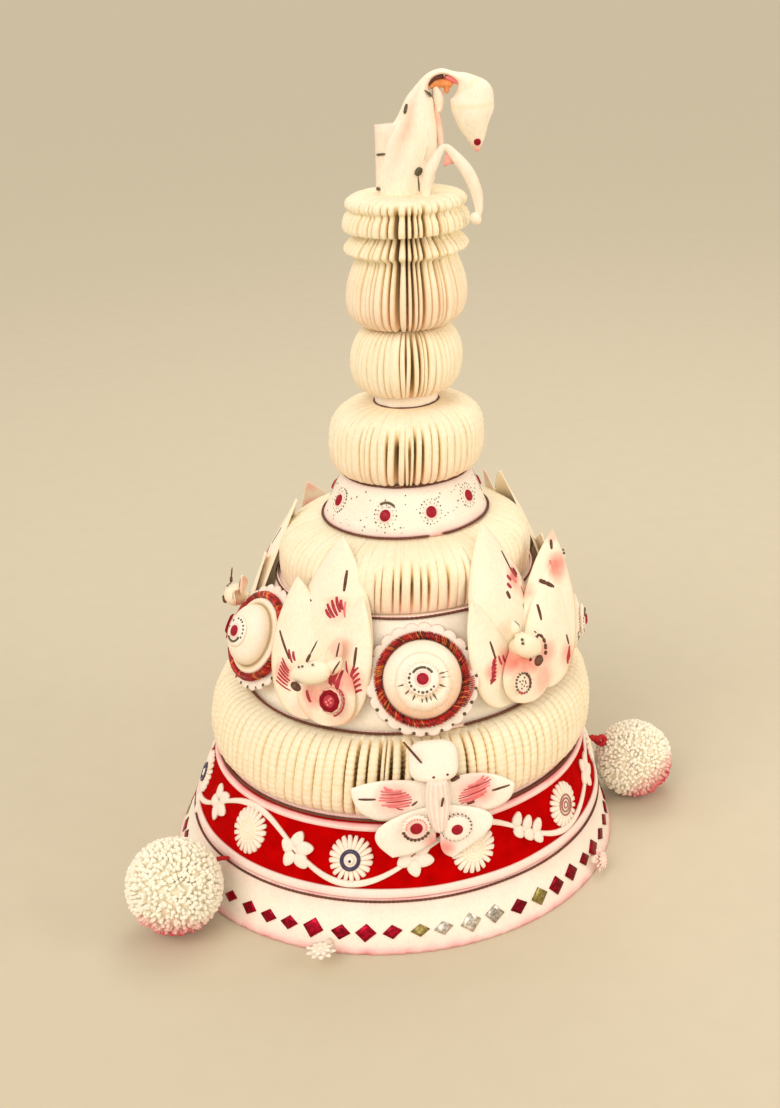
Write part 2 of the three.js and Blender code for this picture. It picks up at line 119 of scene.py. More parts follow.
def radius_on(wall, height):
    """Outer radius of a conical wall between two seams."""
    low, high = wall
    return low.radius + (high.radius - low.radius) * (height - low.height) / (high.height - low.height)


def around(angle, radius, height):
    """The point at an angle, radius and height round the leaning axis."""
    turn = radians(angle)
    return Vector((lean(height) + radius * sin(turn), -radius * cos(turn), height))


def spoke(radius, turn, height=0.0):
    """The point at a radius and height, at a turn in radians from X towards Y."""
    return Vector((radius * cos(turn), radius * sin(turn), height))


def full_turn(count):
    """Turns in radians at even steps round a circle."""
    return [2 * pi * i / count for i in range(count)]


def on_wall(wall, angle, height, proud=0.0):
    """The point on a conical wall, or at a distance in front of it."""
    return around(angle, radius_on(wall, height) + proud, height)


def uneven_at(x, y, z):
    """Smooth unevenness between -1 and 1 at a place."""
    return noise.noise(Vector((x, y, z)))


def skin(rows, shades=(0.0, 0.0), ring=False, look=0):
    """A closed shape over rows of points, where each row is a closed loop of as many points. A shade is a
    pair: how much shade is painted at a point, in folds, crevices and along edges, and how pink it is, which
    is dye in most places and painted shade in a few. shades is one for the whole shape, or a list with one
    for each row or a list of them for each row's points."""
    wide = len(rows[0])
    points = [point for row in rows for point in row]
    marks = []
    for shade in [shades] * len(rows) if isinstance(shades, tuple) else shades:
        marks += [shade] * wide if isinstance(shade, tuple) else shade
    faces = []
    for i in range(len(rows) if ring else len(rows) - 1):
        here, there = i * wide, (i + 1) % len(rows) * wide
        for j in range(wide):
            k = (j + 1) % wide
            faces.append((here + j, here + k, there + k, there + j))
    if not ring:
        for row, first in ((rows[0], 0), (rows[-1], (len(rows) - 1) * wide)):
            middle = len(points)
            points.append(sum(row, Vector()) / wide)
            marks.append(marks[first])
            faces += [(middle, first + (j + 1) % wide, first + j) for j in range(wide)]
    return {"points": points, "faces": faces, "marks": marks, "look": look}


def spin(degrees, axis):
    """A rotation about an axis by an angle in degrees."""
    return Matrix.Rotation(radians(degrees), 4, axis)


def facing(direction):
    """A rotation that turns Z to a direction."""
    return direction.to_track_quat("Z", "Y").to_matrix().to_4x4()


def moved(shape, place):
    """The same shape, moved by a matrix."""
    return {**shape, "points": [place @ point for point in shape["points"]]}


def make_piece(name, shapes, materials, nodes=(), place=Matrix()):
    """One object from closed shapes at a place: it rides with the hat and stands for its CAD nodes."""
    points, faces, marks, looks = [], [], [], []
    for shape in shapes:
        start = len(points)
        points += [place @ point * mm for point in shape["points"]]
        faces += [tuple(start + corner for corner in face) for face in shape["faces"]]
        marks += shape["marks"]
        looks += [shape["look"]] * len(shape["faces"])
    mesh = bpy.data.meshes.new(name)
    mesh.from_pydata(points, [], faces)
    for column, kind in enumerate(("painted_shade", "dye")):
        layer = mesh.attributes.new(kind, "FLOAT", "POINT")
        layer.data.foreach_set("value", [mark[column] for mark in marks])
    for material in materials:
        mesh.materials.append(material)
    mesh.polygons.foreach_set("material_index", looks)
    mesh.polygons.foreach_set("use_smooth", [True] * len(faces))
    solid = bmesh.new()
    solid.from_mesh(mesh)
    bmesh.ops.recalc_face_normals(solid, faces=solid.faces)
    solid.to_mesh(mesh)
    solid.free()
    piece = bpy.data.objects.new(name, mesh)
    bpy.context.scene.collection.objects.link(piece)
    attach(piece, "root")
    if nodes:
        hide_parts(*nodes)
    return piece


def new_group(name, inputs, outputs):
    """An empty shader node group with named sockets."""
    group = bpy.data.node_groups.new(name, "ShaderNodeTree")
    for socket, kind, value in inputs:
        made = group.interface.new_socket(socket, in_out="INPUT", socket_type=kind)
        made.default_value = value
    for socket, kind in outputs:
        group.interface.new_socket(socket, in_out="OUTPUT", socket_type=kind)
    group.nodes.new("NodeGroupInput")
    group.nodes.new("NodeGroupOutput")
    return group


def add_node(tree, kind, settings=None, **sockets):
    """A node with its settings, and with its sockets set to values or linked from other sockets."""
    node = tree.nodes.new("ShaderNode" + kind)
    for key, value in (settings or {}).items():
        setattr(node, key, value)
    for key, value in sockets.items():
        socket = node.inputs[int(key[1:])] if key[0] == "_" else node.inputs[key.replace("_", " ")]
        if isinstance(value, bpy.types.NodeSocket):
            tree.links.new(value, socket)
        else:
            socket.default_value = value
    return node


def math_node(tree, operation, *values):
    """The output of one math node."""
    return add_node(tree, "Math", {"operation": operation},
                    **{f"_{i}": value for i, value in enumerate(values)}).outputs[0]


def ends_of(tree):
    """The input and output nodes of a group."""
    return tree.nodes["Group Input"].outputs, tree.nodes["Group Output"].inputs


# Fine fibres and pores of cut pith, drawn out along the height of the hat.
pith_fibre = new_group(
    "pith fibre",
    [("Fineness", "NodeSocketFloat", 1.0), ("Stretch", "NodeSocketFloat", 0.25)],
    [("Fibre", "NodeSocketFloat"), ("Cloud", "NodeSocketFloat")],
)
given, result = ends_of(pith_fibre)
place = add_node(pith_fibre, "TexCoord").outputs["Object"]
stretched = add_node(pith_fibre, "CombineXYZ", X=1.0, Y=1.0, Z=given["Stretch"]).outputs[0]
drawn = add_node(pith_fibre, "VectorMath", {"operation": "MULTIPLY"}, _0=place, _1=stretched)
fineness = math_node(pith_fibre, "MULTIPLY", given["Fineness"], 1400.0)
fibres = add_node(pith_fibre, "TexNoise", Vector=drawn.outputs[0], Scale=fineness, Detail=3.0)
cloud = add_node(pith_fibre, "TexNoise", Vector=place, Scale=95.0, Detail=4.0)
pith_fibre.links.new(fibres.outputs[0], result["Fibre"])
pith_fibre.links.new(cloud.outputs[0], result["Cloud"])

# Colour painted from the marks stored on each piece: shade painted warm in shallow folds, crevices and edges
# and dark where they are deep, over a cloudy warm tone that varies at random, and pink where dye has soaked
# in, which in a few places is painted shade too.
shade_and_dye_colour = new_group(
    "fold colour",
    [(colour, "NodeSocketColor", (1, 1, 1, 1)) for colour in ("Face", "Warm", "Deep", "Dye")]
    + [("Cloud", "NodeSocketFloat", 0.5)],
    [("Colour", "NodeSocketColor")],
)
given, result = ends_of(shade_and_dye_colour)
painted_shade = add_node(shade_and_dye_colour, "Attribute", {"attribute_name": "painted_shade"}).outputs["Fac"]
dye = add_node(shade_and_dye_colour, "Attribute", {"attribute_name": "dye"}).outputs["Fac"]
clouding = math_node(shade_and_dye_colour, "MULTIPLY_ADD", given["Cloud"], 1.6, -0.3)
tone_and_shade_share = add_node(shade_and_dye_colour, "MapRange", Value=painted_shade, From_Max=0.45).outputs[0]
cloud_share = math_node(shade_and_dye_colour, "MULTIPLY", clouding, 0.45)
tone_and_shade_share = math_node(shade_and_dye_colour, "MAXIMUM", tone_and_shade_share, cloud_share)
deep_shade_share = add_node(shade_and_dye_colour, "MapRange", Value=painted_shade, From_Min=0.4).outputs[0]
dye_share = math_node(shade_and_dye_colour, "MULTIPLY", dye, math_node(shade_and_dye_colour, "ADD", clouding, 0.45))
dye_share = math_node(shade_and_dye_colour, "MINIMUM", dye_share, 1.0)


def mix_colour(tree, share, first, second):
    """The colour output of one mix node."""
    return add_node(tree, "Mix", {"data_type": "RGBA"}, _0=share, _6=first, _7=second).outputs[2]


toned_and_shaded = mix_colour(shade_and_dye_colour, tone_and_shade_share, given["Face"], given["Warm"])
dyed = mix_colour(shade_and_dye_colour, dye_share, toned_and_shaded, given["Dye"])
shade_and_dye_colour.links.new(mix_colour(shade_and_dye_colour, deep_shade_share, dyed, given["Deep"]), result["Colour"])


def new_material(name, roughness, **constants):
    """A material with a Principled shader, and that shader."""
    material = bpy.data.materials.new(name)
    material.use_nodes = True
    shader = material.node_tree.nodes["Principled BSDF"]
    shader.inputs["Roughness"].default_value = roughness
    for key, value in constants.items():
        shader.inputs[key.replace("_", " ")].default_value = value
    return material, shader


def rgb(red, green, blue):
    """A colour from screen values of 0 to 255."""
    def linear(value):
        share = value / 255
        return share / 12.92 if share <= 0.04045 else ((share + 0.055) / 1.055) ** 2.4

    return linear(red), linear(green), linear(blue), 1.0


def pith_material(name, face, warm, deep, dye_colour, fineness=1.0, stretch=0.25, bump=0.12):
    """Matte pith: a colour for its face, a warm colour for its cloudy tone and for shade painted in shallow
    folds, a dark colour for shade painted in deep folds, and a pink for its dyed edges, which in a few
    places is painted shade.
    """
    material, shader = new_material(name, 0.82, Specular_IOR_Level=0.25)
    tree = material.node_tree
    fibre = add_node(tree, "Group", {"node_tree": pith_fibre}, Fineness=fineness, Stretch=stretch)
    colour = add_node(tree, "Group", {"node_tree": shade_and_dye_colour}, Face=face, Warm=warm, Deep=deep,
                      Dye=dye_colour, Cloud=fibre.outputs["Cloud"])
    lines = add_node(tree, "MapRange", Value=fibre.outputs["Fibre"], From_Min=0.3, From_Max=0.7,
                     To_Min=0.93, To_Max=1.03).outputs[0]
    tinted = add_node(tree, "VectorMath", {"operation": "SCALE"}, _0=colour.outputs["Colour"],
                      Scale=lines)
    tree.links.new(tinted.outputs[0], shader.inputs["Base Color"])
    rough = add_node(tree, "MapRange", Value=fibre.outputs["Fibre"], To_Min=0.7, To_Max=0.95)
    tree.links.new(rough.outputs[0], shader.inputs["Roughness"])
    raised = add_node(tree, "Bump", Height=fibre.outputs["Fibre"], Strength=bump,
                      Distance=0.3 * mm)
    tree.links.new(raised.outputs[0], shader.inputs["Normal"])
    return material


def uneven_material(name, roughness, dark, light, scale, detail=2.0, **constants):
    """One colour in darker and lighter patches, where scale is how many there are to a metre."""
    material, shader = new_material(name, roughness, **constants)
    tree = material.node_tree
    place = add_node(tree, "TexCoord").outputs["Object"]
    patches = add_node(tree, "TexNoise", Vector=place, Scale=scale, Detail=detail).outputs[0]
    tree.links.new(mix_colour(tree, patches, dark, light), shader.inputs["Base Color"])
    return material


white_pith = pith_material("white pith sheet", rgb(255, 246, 232), rgb(255, 236, 205), rgb(150, 108, 84),
                           rgb(250, 168, 172))
band_wall = (RIM, BAND_LOW)
band_thickness = 2.6
band_pink = (0.9, 0.75, 0.28, 0, 0, 0.25, 0.8, 0.9, 0, 0, 0.5)
angles_round = [360 * step / 300 for step in range(300)]
rows, shades = [], []
for step, angle in enumerate(angles_round):
    fray = 0.5 + 0.5 * uneven_at(step * 0.37, 0, 3)
    swell = 0.5 * noise.noise(around(angle, 1, 0) * 1.3)
    outside = [
        (0.9 * fray * (1 if step % 3 else 0.2), 0.1 + swell * 0.4),
        (1.6 + fray, 0.35 + 0.5 * fray + swell),
        (4, 0.1 + swell),
        (9, 0.1 + swell * 0.8),
        (15, 0.1 + swell * 0.5),
        (BAND_LOW.height - 2.2, 0.0),
        (BAND_LOW.height - 0.3, 0.15 * fray),
        (BAND_LOW.height, -0.4),
    ]
    inside = [(height, -band_thickness) for height in (BAND_LOW.height, 12, 0.4 * fray)]
    rows.append([on_wall(band_wall, angle, height, proud) for height, proud in outside + inside])
    # The inside of the wall is painted with shade.
    shades.append([(0.25 if i > 7 else 0.0, pink * (0.55 + 0.6 * fray)) for i, pink in enumerate(band_pink)])
make_piece("rim_band", [skin(rows, shades, ring=True)], [white_pith], ["base_band"])

# ---- Foil diamonds ----
# A row of small diamonds cut from thin foil, glued along the lower edge of the rim band, a little
# closer at the front. Most are dark red, and a few are olive gold or plain mirror.
diamond_count = 54
diamond_height = 9.9
first_diamond = -2.6
diamond_half = (4.8, 3.7)
mirror_run = {2, 3, 4, 31, 32}
gold_ones = {1, 6, 15, 22, 40}


def foil_material(name, colour, roughness):
    """Thin metal foil, creased by hand."""
    material, shader = new_material(name, roughness, Metallic=0.85)
    tree = material.node_tree
    place = add_node(tree, "TexCoord").outputs["Object"]
    creases = add_node(tree, "TexVoronoi", Vector=place, Scale=420.0).outputs["Distance"]
    sparks = add_node(tree, "TexNoise", Vector=place, Scale=700.0, Detail=2.0).outputs[0]
    shine = add_node(tree, "MapRange", Value=sparks, From_Min=0.35, From_Max=0.7,
                     To_Min=0.55, To_Max=1.35).outputs[0]
    each = add_node(tree, "NewGeometry").outputs["Random Per Island"]
    shine = math_node(tree, "MULTIPLY", shine, math_node(tree, "MULTIPLY_ADD", each, 0.55, 0.5))
    tinted = add_node(tree, "VectorMath", {"operation": "SCALE"}, _0=colour[:3], Scale=shine)
    tree.links.new(tinted.outputs[0], shader.inputs["Base Color"])
    raised = add_node(tree, "Bump", Height=creases, Strength=0.35, Distance=0.4 * mm)
    tree.links.new(raised.outputs[0], shader.inputs["Normal"])
    return material


red_foil = foil_material("dark red foil", rgb(176, 8, 40), 0.38)
gold_foil = foil_material("olive gold foil", rgb(176, 158, 92), 0.34)
mirror_foil = foil_material("mirror foil", rgb(250, 240, 226), 0.3)


def relief(wall, outline, low, high, inset, crown, dye=0.0, look=0):
    """A low plate on a wall from an outline of (angle, height) points, with rounded edges and marks for
    shade painted at its foot.
    """
    middle = [sum(point[axis] for point in outline) / len(outline) for axis in (0, 1)]
    rows, shades = [], []
    for share, proud, painted_shade in ((1.0, low, 0.6), (1.0, high - inset, 0.1), (1 - 0.12 * inset, high, 0),
                                 (0.5, high + crown * 0.8, 0)):
        rows.append([
            on_wall(wall, middle[0] + (angle - middle[0]) * share,
                    middle[1] + (height - middle[1]) * share, proud)
            for angle, height in outline
        ])
        shades.append((painted_shade, dye))
    shape = skin(rows, shades, look=look)
    shape["points"][-1] = on_wall(wall, *middle, high + crown)
    shape["points"][-2] = on_wall(wall, *middle, low)
    return shape


def degrees_for(wall, height, length):
    """The angle that a length takes up along a wall."""
    return math.degrees(length / radius_on(wall, height))


diamonds = []
for i in range(diamond_count):
    even = first_diamond + 360 * i / diamond_count
    angle = even - 1.5 * sin(radians(even)) + uniform(-0.5, 0.5)
    middle = diamond_height + uniform(-0.5, 0.5)
    tilt = radians(uniform(-9, 9))
    size = uniform(0.88, 1.06)
    outline = []
    for turn in full_turn(4):
        across = diamond_half[0] * size * cos(turn)
        up = diamond_half[1] * size ** 3 * sin(turn)
        right = across * cos(tilt) - up * sin(tilt)
        outline.append((angle + degrees_for(band_wall, middle, right),
                        middle + across * sin(tilt) + up * cos(tilt)))
    look = 1 if i in gold_ones else 2 if i in mirror_run else 0
    diamonds.append(relief(band_wall, outline, 0.1, 0.75, 0.15, 0.1, look=look))
make_piece("foil_diamonds", diamonds, [red_foil, gold_foil, mirror_foil])

# ---- Cords on the seams ----
# Dark brown thread, twisted from two strands and glued by hand along the seams of the tiers, so that it
# wanders a little.
brown_thread, shader = new_material("dark brown thread", 0.75, Specular_IOR_Level=0.3)
tree = brown_thread.node_tree
place = add_node(tree, "TexCoord").outputs["Object"]
fluff = add_node(tree, "TexNoise", Vector=place, Scale=2600.0, Detail=3.0).outputs[0]
patches = add_node(tree, "TexNoise", Vector=place, Scale=120.0).outputs[0]
tone = math_node(tree, "MULTIPLY_ADD", patches, 0.7, math_node(tree, "MULTIPLY", fluff, 0.5))
thread_colour = mix_colour(tree, tone, rgb(62, 28, 20), rgb(128, 80, 60))
tree.links.new(thread_colour, shader.inputs["Base Color"])
raised = add_node(tree, "Bump", Height=fluff, Strength=0.4, Distance=0.15 * mm)
tree.links.new(raised.outputs[0], shader.inputs["Normal"])


def twisted(path, radius, twist, ring=True):
    """Two strands twisted together along a path of close points. twist is the length of one turn."""
    rows, travelled = [], 0.0
    whole = sum((path[i] - path[i - 1]).length for i in range(0 if ring else 1, len(path)))
    turns_in_all = max(1, round(whole / twist))
    for i, here in enumerate(path):
        before = path[i - 1] if ring or i else path[i]
        after = path[(i + 1) % len(path)] if ring or i + 1 < len(path) else path[i]
        along = (after - before).normalized()
        side = along.cross(Vector((0, 0, 1)) if abs(along.z) < 0.9 else Vector((1, 0, 0))).normalized()
        up = side.cross(along)
        turn = 2 * pi * turns_in_all * travelled / whole
        end = 1.0 if ring else min(1.0, 0.35 + min(i, len(path) - 1 - i) * 0.4)
        row = []
        for angle in full_turn(8):
            reach = radius * end * (0.72 + 0.28 * abs(cos(angle - turn)))
            row.append(here + (side * cos(angle) + up * sin(angle)) * reach)
        rows.append(row)
        travelled += (after - here).length
    return skin(rows, ring=ring)


def seam_cord(node, wall, height, thick, seed, breaks=()):
    """A cord glued round a wall, with (angle, half width) places where it is hidden or broken."""
    point_gap, twist = 0.75, 4.2
    steps = int(2 * pi * radius_on(wall, height) / point_gap)
    shapes, path = [], []
    for i in range(steps + 1):
        angle = 180 + 360 * i / steps
        turn = radians(angle)
        wander = noise.noise(Vector((sin(turn), cos(turn), seed)) * 3.1)
        here = around(angle, radius_on(wall, height) + thick * 0.8 + 0.15 * wander, height + 0.35 * wander)
        near = [1 for middle, half in breaks if abs((angle - middle + 180) % 360 - 180) < half]
        if near and len(path) > 4:
            shapes.append(twisted(path, thick, twist, ring=False))
        path = [] if near else path + [here]
    shapes.append(twisted(path if shapes else path[:-1], thick, twist, ring=not shapes))
    make_piece(f"{node}_thread", shapes, [brown_thread], [node])


cloth_wall = (BAND_LOW, BAND_TOP)
seam_cord("rim_cord", band_wall, BAND_LOW.height - 1.2, 0.64, 1)
seam_cord("band_top_cord", cloth_wall, BAND_TOP.height - 0.3, 0.72, 2, [(6.0, 10.5)])

# ---- Red band ----
# Red cotton cloth pulled tight round a cone of card and glued. The weave is plain and fine.
woven_cloth = new_group(
    "woven cloth",
    [("Threads", "NodeSocketFloat", 9.0), ("Radius", "NodeSocketFloat", 95.0)],
    [("Weave", "NodeSocketFloat"), ("Slub", "NodeSocketFloat")],
)
given, result = ends_of(woven_cloth)
place = add_node(woven_cloth, "TexCoord").outputs["Object"]
axes = add_node(woven_cloth, "SeparateXYZ", Vector=place).outputs
turn = math_node(woven_cloth, "ARCTAN2", axes[0], axes[1])
pitch = math_node(woven_cloth, "MULTIPLY", given["Threads"], 2 * pi)
arc = math_node(woven_cloth, "MULTIPLY", turn, given["Radius"])
warp_place = math_node(woven_cloth, "MULTIPLY", arc, pitch)
weft_place = math_node(woven_cloth, "MULTIPLY", math_node(woven_cloth, "DIVIDE", axes[2], mm), pitch)
warp = math_node(woven_cloth, "SINE", math_node(woven_cloth, "MULTIPLY", warp_place, 0.2))
weft = math_node(woven_cloth, "SINE", math_node(woven_cloth, "MULTIPLY", weft_place, 0.2))
over = math_node(woven_cloth, "MULTIPLY", warp, weft)
slub = add_node(woven_cloth, "TexNoise", Vector=place, Scale=160.0, Detail=5.0).outputs[0]
woven_cloth.links.new(over, result["Weave"])
woven_cloth.links.new(slub, result["Slub"])

red_cloth, shader = new_material("red cotton cloth", 0.9, Specular_IOR_Level=0.03)
tree = red_cloth.node_tree
weave = add_node(tree, "Group", {"node_tree": woven_cloth}, Threads=8.0, Radius=95.0)
depth = math_node(tree, "MULTIPLY_ADD", weave.outputs["Weave"], 0.12, weave.outputs["Slub"])
cloth_colour = mix_colour(tree, depth, rgb(148, 0, 0), rgb(214, 0, 0))
tree.links.new(cloth_colour, shader.inputs["Base Color"])
raised = add_node(tree, "Bump", Height=weave.outputs["Weave"], Strength=0.3, Distance=0.12 * mm)
tree.links.new(raised.outputs[0], shader.inputs["Normal"])
cloth_thickness = 2.6
rows = []
for angle in angles_round:
    pull = 0.18 * noise.noise(around(angle, 1, 0) * 2.1 + Vector((0, 0, 5)))
    section = [(BAND_LOW.height + 0.3, 0)] + [(BAND_LOW.height + up, pull) for up in (1, 8, 16, 24, 32.6)]
    section += [(height, -cloth_thickness) for height in (BAND_TOP.height - 0.4, 42, BAND_LOW.height + 0.3)]
    rows.append([on_wall(cloth_wall, angle, height, proud) for height, proud in section])
make_piece("red_cloth_band", [skin(rows, ring=True)], [red_cloth], ["red_band"])

# ---- Edgings ----
# Narrow strips of pith sheet glued along both edges of the cloth: white below, and pink with run dye
# above.
pink_pith = pith_material("dyed pith strip", rgb(255, 238, 226), rgb(255, 222, 204), rgb(150, 84, 72),
                          rgb(252, 158, 160))


def edging(wall, low, high, thickness, seed, dye_low, dye_high, wobble=0.35):
    """A strip of pith sheet round a wall, with cut edges that are a little uneven."""
    rows, marks = [], []
    for angle in angles_round:
        up = wobble * noise.noise(around(angle, 4, 0) * 0.9 + Vector((0, 0, seed)))
        down = wobble * noise.noise(around(angle, 4, 0) * 0.8 + Vector((0, 0, seed + 9)))
        corners = (
            (low + down, 0.15, dye_low), (low + down + 0.1, thickness - 0.25, dye_low),
            (low + down + 0.5, thickness, dye_low * 0.7), ((low + high) / 2, thickness + 0.1, 0.1),
            (high + up - 0.5, thickness, dye_high * 0.8), (high + up - 0.1, thickness - 0.25, dye_high),
            (high + up, 0.15, dye_high),
        )
        rows.append([on_wall(wall, angle, height, proud) for height, proud, _ in corners])
        # Shade is painted where the strip's edges meet the wall.
        marks.append([(0.3 if proud < 0.2 else 0.0, dye) for _, proud, dye in corners])
    return skin(rows, marks, ring=True)


lower_strip = edging(cloth_wall, BAND_LOW.height + 0.5, BAND_LOW.height + 4.3, 1.2, 3, 0.35, 0.1)
make_piece("lower_white_edging", [lower_strip], [pink_pith], ["lower_edging"])
inner, outer = 83, BAND_TOP.radius - 0.7
flat_rim = [[around(angle, radius, BAND_TOP.height + up)
             for radius, up in ((inner, -0.6), (outer, -0.6), (outer, 0.4), (inner, 0.7))]
            for angle in angles_round]
upper_strip = edging(cloth_wall, BAND_TOP.height - 4.9, BAND_TOP.height - 1.6, 1.2, 4, 0.75, 0.9)
make_piece("upper_pink_edging", [upper_strip, skin(flat_rim, (0.05, 0.25), ring=True)], [pink_pith],
           ["upper_edging"])

# ---- Vine with daisies ----
# Cut from white pith sheet and glued on the cloth: one stem winds over and under ten daisies, with
# bunches of leaves where it crosses the middle. The daisies' centres are spirals, rings and beads.
daisy_count = 10
front_daisies = 4
first_daisy = -48.4
front_step = 33.67
vine_middle = 41.5
vine_swing = 11.0
daisy_radius = 10.6
daisy_petals = 20


def daisy_angle(index):
    """Where the vine is round the band, counted in daisies. The front four stand closer."""
    front = min(index, front_daisies - 1)
    back_step = (360 - (front_daisies - 1) * front_step) / (daisy_count - front_daisies + 1)
    return first_daisy + front * front_step + (index - front) * back_step


def vine_height(index):
    """How high the vine is on the band, counted in daisies."""
    return vine_middle + vine_swing * cos(pi * index)


def on_vine(index, right, up, proud):
    """A point on the cloth, from a place on the vine and millimetres to the right and up."""
    height = vine_height(index) + up
    return on_wall(cloth_wall, daisy_angle(index) + degrees_for(cloth_wall, height, right), height, proud)


stem_rows, stem_marks = [], []
steps_per_daisy = 22
for i in range(daisy_count * steps_per_daisy):
    index = i / steps_per_daisy
    half = 1.15 + 0.25 * cos(2 * pi * index)
    section = ((-half, 0.2), (-half, 1.0), (-half * 0.6, 1.45),
               (half * 0.6, 1.45), (half, 1.0), (half, 0.2))
    slope = math.atan2(-vine_swing * pi * sin(pi * index), front_step * 1.65)
    stem_rows.append([on_vine(index, -up * sin(slope), up * cos(slope), proud)
                      for up, proud in section])
    # Shade is painted along the stem's foot, where it meets the cloth.
    stem_marks.append([(0.4 if proud < 0.5 else 0.0, 0.12) for _, proud in section])
vine_shapes = [skin(stem_rows, stem_marks, ring=True)]


def leaf(index, right, up, tilt, long, wide=3.0):
    """An ovate leaf with a pointed end, its foot at a place beside the vine."""
    outline = []
    for turn in full_turn(16):
        along = long * (1 + cos(turn))
        across = wide * sin(turn) * (1 - 0.28 * cos(turn))
        x = right + along * cos(radians(tilt)) - across * sin(radians(tilt))
        y = up + along * sin(radians(tilt)) + across * cos(radians(tilt))
        height = vine_height(index) + y
        outline.append((daisy_angle(index) + degrees_for(cloth_wall, height, x), height))
    return relief(cloth_wall, outline, 0.25, 1.5, 0.4, 0.35, dye=0.1)


# (right, up, tilt, length) of a bunch's leaves, and (right, tilt) of the fern's at the front.
bunch = ((-0.6, 1.0, 66, 3.4), (0.8, 0.4, 8, 4.1), (-0.8, -1.0, 150, 3.2), (1.2, -2.0, -34, 3.9),
         (-0.5, -1.6, -112, 3.2))
fern = ((-6.5, 60), (-6.5, -62), (-1.0, 55), (-1.0, -60), (4.5, 50), (4.5, -60))
for i in range(daisy_count):
    if i % daisy_count == front_daisies - 2:
        for right, tilt in fern:
            vine_shapes.append(leaf(i + 0.52 + right / 58, 0, 0, tilt, 3.3, 2.5))
    else:
        rising = 1 if i % 2 else -1
        for right, up, tilt, long in bunch:
            vine_shapes.append(leaf(i + 0.5, right, up * -rising, tilt * -rising, long * 1.1))
vine_shapes.append(leaf(9.12, -1, -1.5, 200, 3.6, 2.7))
vine_shapes.append(leaf(9.16, 0, -6, 185, 2.8, 2.2))


def on_daisy(index, reach, turn, proud):
    """A point on the cloth at a distance and a turn from a daisy's centre."""
    height = vine_middle + reach * sin(turn)
    angle = daisy_angle(index) + degrees_for(cloth_wall, height, reach * cos(turn))
    return on_wall(cloth_wall, angle, height, proud)


def daisy(index, radius):
    """A flat daisy: narrow slits part its petals and are painted with shade, and ridges ring its centre."""
    levels = ((1.0, 0.3), (1.0, 1.1), (0.93, 1.75), (0.72, 1.95), (0.5, 2.2), (0.34, 2.0), (0.16, 2.3))
    rows, marks = [], []
    for share, proud in levels:
        row, mark = [], []
        for turn in full_turn(daisy_petals * 8):
            slit = abs(cos(turn * daisy_petals / 2)) ** 10 if share > 0.45 else 0.0
            wobble = 1 + 0.05 * uneven_at(sin(turn) * 2.5, cos(turn) * 2.5, index)
            reach = radius * share * wobble * (1 - (0.3 * slit if share > 0.9 else 0.0))
            up = proud - 0.75 * slit * min(1.0, (share - 0.4) * 3)
            row.append(on_daisy(index, reach, turn, max(up, 0.3)))
            mark.append((0.7 * slit if share > 0.45 else 0.1, 0.16 if share > 0.9 else 0.04))
        rows.append(row)
        marks.append(mark)
    return skin(rows, marks)


def daisy_ring(index, radius, thick, proud, look, painted_shade=0.0):
    """A ring of thread or of a bead, lying flat round a daisy's centre."""
    rows = [[on_daisy(index, radius + thick * cos(roll), turn, proud + thick * 0.8 * sin(roll))
             for roll in full_turn(6)] for turn in full_turn(28)]
    return skin(rows, (painted_shade, 0.0), ring=True, look=look)


def dot_on_wall(wall, angle, height, radius, proud, rise, look, sides=10):
    """A small domed dot on a wall."""
    rows = []
    for share, up in ((1.0, 0.0), (0.94, rise * 0.55), (0.55, rise * 0.95)):
        row = []
        for turn in full_turn(sides):
            level = height + radius * share * sin(turn)
            across = degrees_for(wall, level, radius * share * cos(turn))
            row.append(on_wall(wall, angle + across, level, proud + up))
        rows.append(row)
    return skin(rows, look=look)


night_sequin = uneven_material("dark blue sequin", 0.3, rgb(20, 16, 40), rgb(96, 84, 116), 900.0,
                               Metallic=0.4)
spiral_thread = pith_material("pinkish brown thread", rgb(190, 128, 112), rgb(150, 92, 80), rgb(90, 44, 38),
                              rgb(214, 120, 116), stretch=1.0)
for i in range(daisy_count):
    vine_shapes.append(daisy(i, daisy_radius * (0.96 if i % 2 else 1.0)))
    centre = (cloth_wall, daisy_angle(i), vine_middle)
    kind = i % 4
    if kind == 1:
        vine_shapes.append(daisy_ring(i, 3.9, 0.9, 2.4, 1))
        vine_shapes.append(dot_on_wall(*centre, 2.0, 2.0, 1.3, 0, 14))
        vine_shapes.append(dot_on_wall(*centre, 0.7, 3.2, 0.3, 1))
    elif kind == 3:
        vine_shapes += [daisy_ring(i, radius, 0.42, 2.3, 2) for radius in (4.6, 3.0, 1.4)]
    else:
        vine_shapes += [daisy_ring(i, radius, 0.5, 2.05, 3, 0.1) for radius in (5.0, 3.6, 2.2)]
        vine_shapes.append(dot_on_wall(*centre, 1.1, 2.0, 0.9, 3, 12))
cream_pith = pith_material("cream pith", rgb(255, 245, 220), rgb(253, 226, 184), rgb(132, 84, 48),
                           rgb(250, 168, 150), stretch=1.0)
make_piece("vine_and_daisies", vine_shapes, [white_pith, night_sequin, spiral_thread, cream_pith],
           ["vine"])

# ---- Pleated rings ----
# Each ring is a honeycomb of thin upright pith leaves, cut to a round outline, opened like a fan and
# glued round the stack. Its two ends meet at the front, so the leaves stand wider apart there.
ring_pith = pith_material("pleated pith leaves", rgb(255, 245, 218), rgb(250, 224, 174), rgb(114, 86, 46),
                          rgb(252, 172, 152), fineness=0.8, stretch=0.3, bump=0.2)


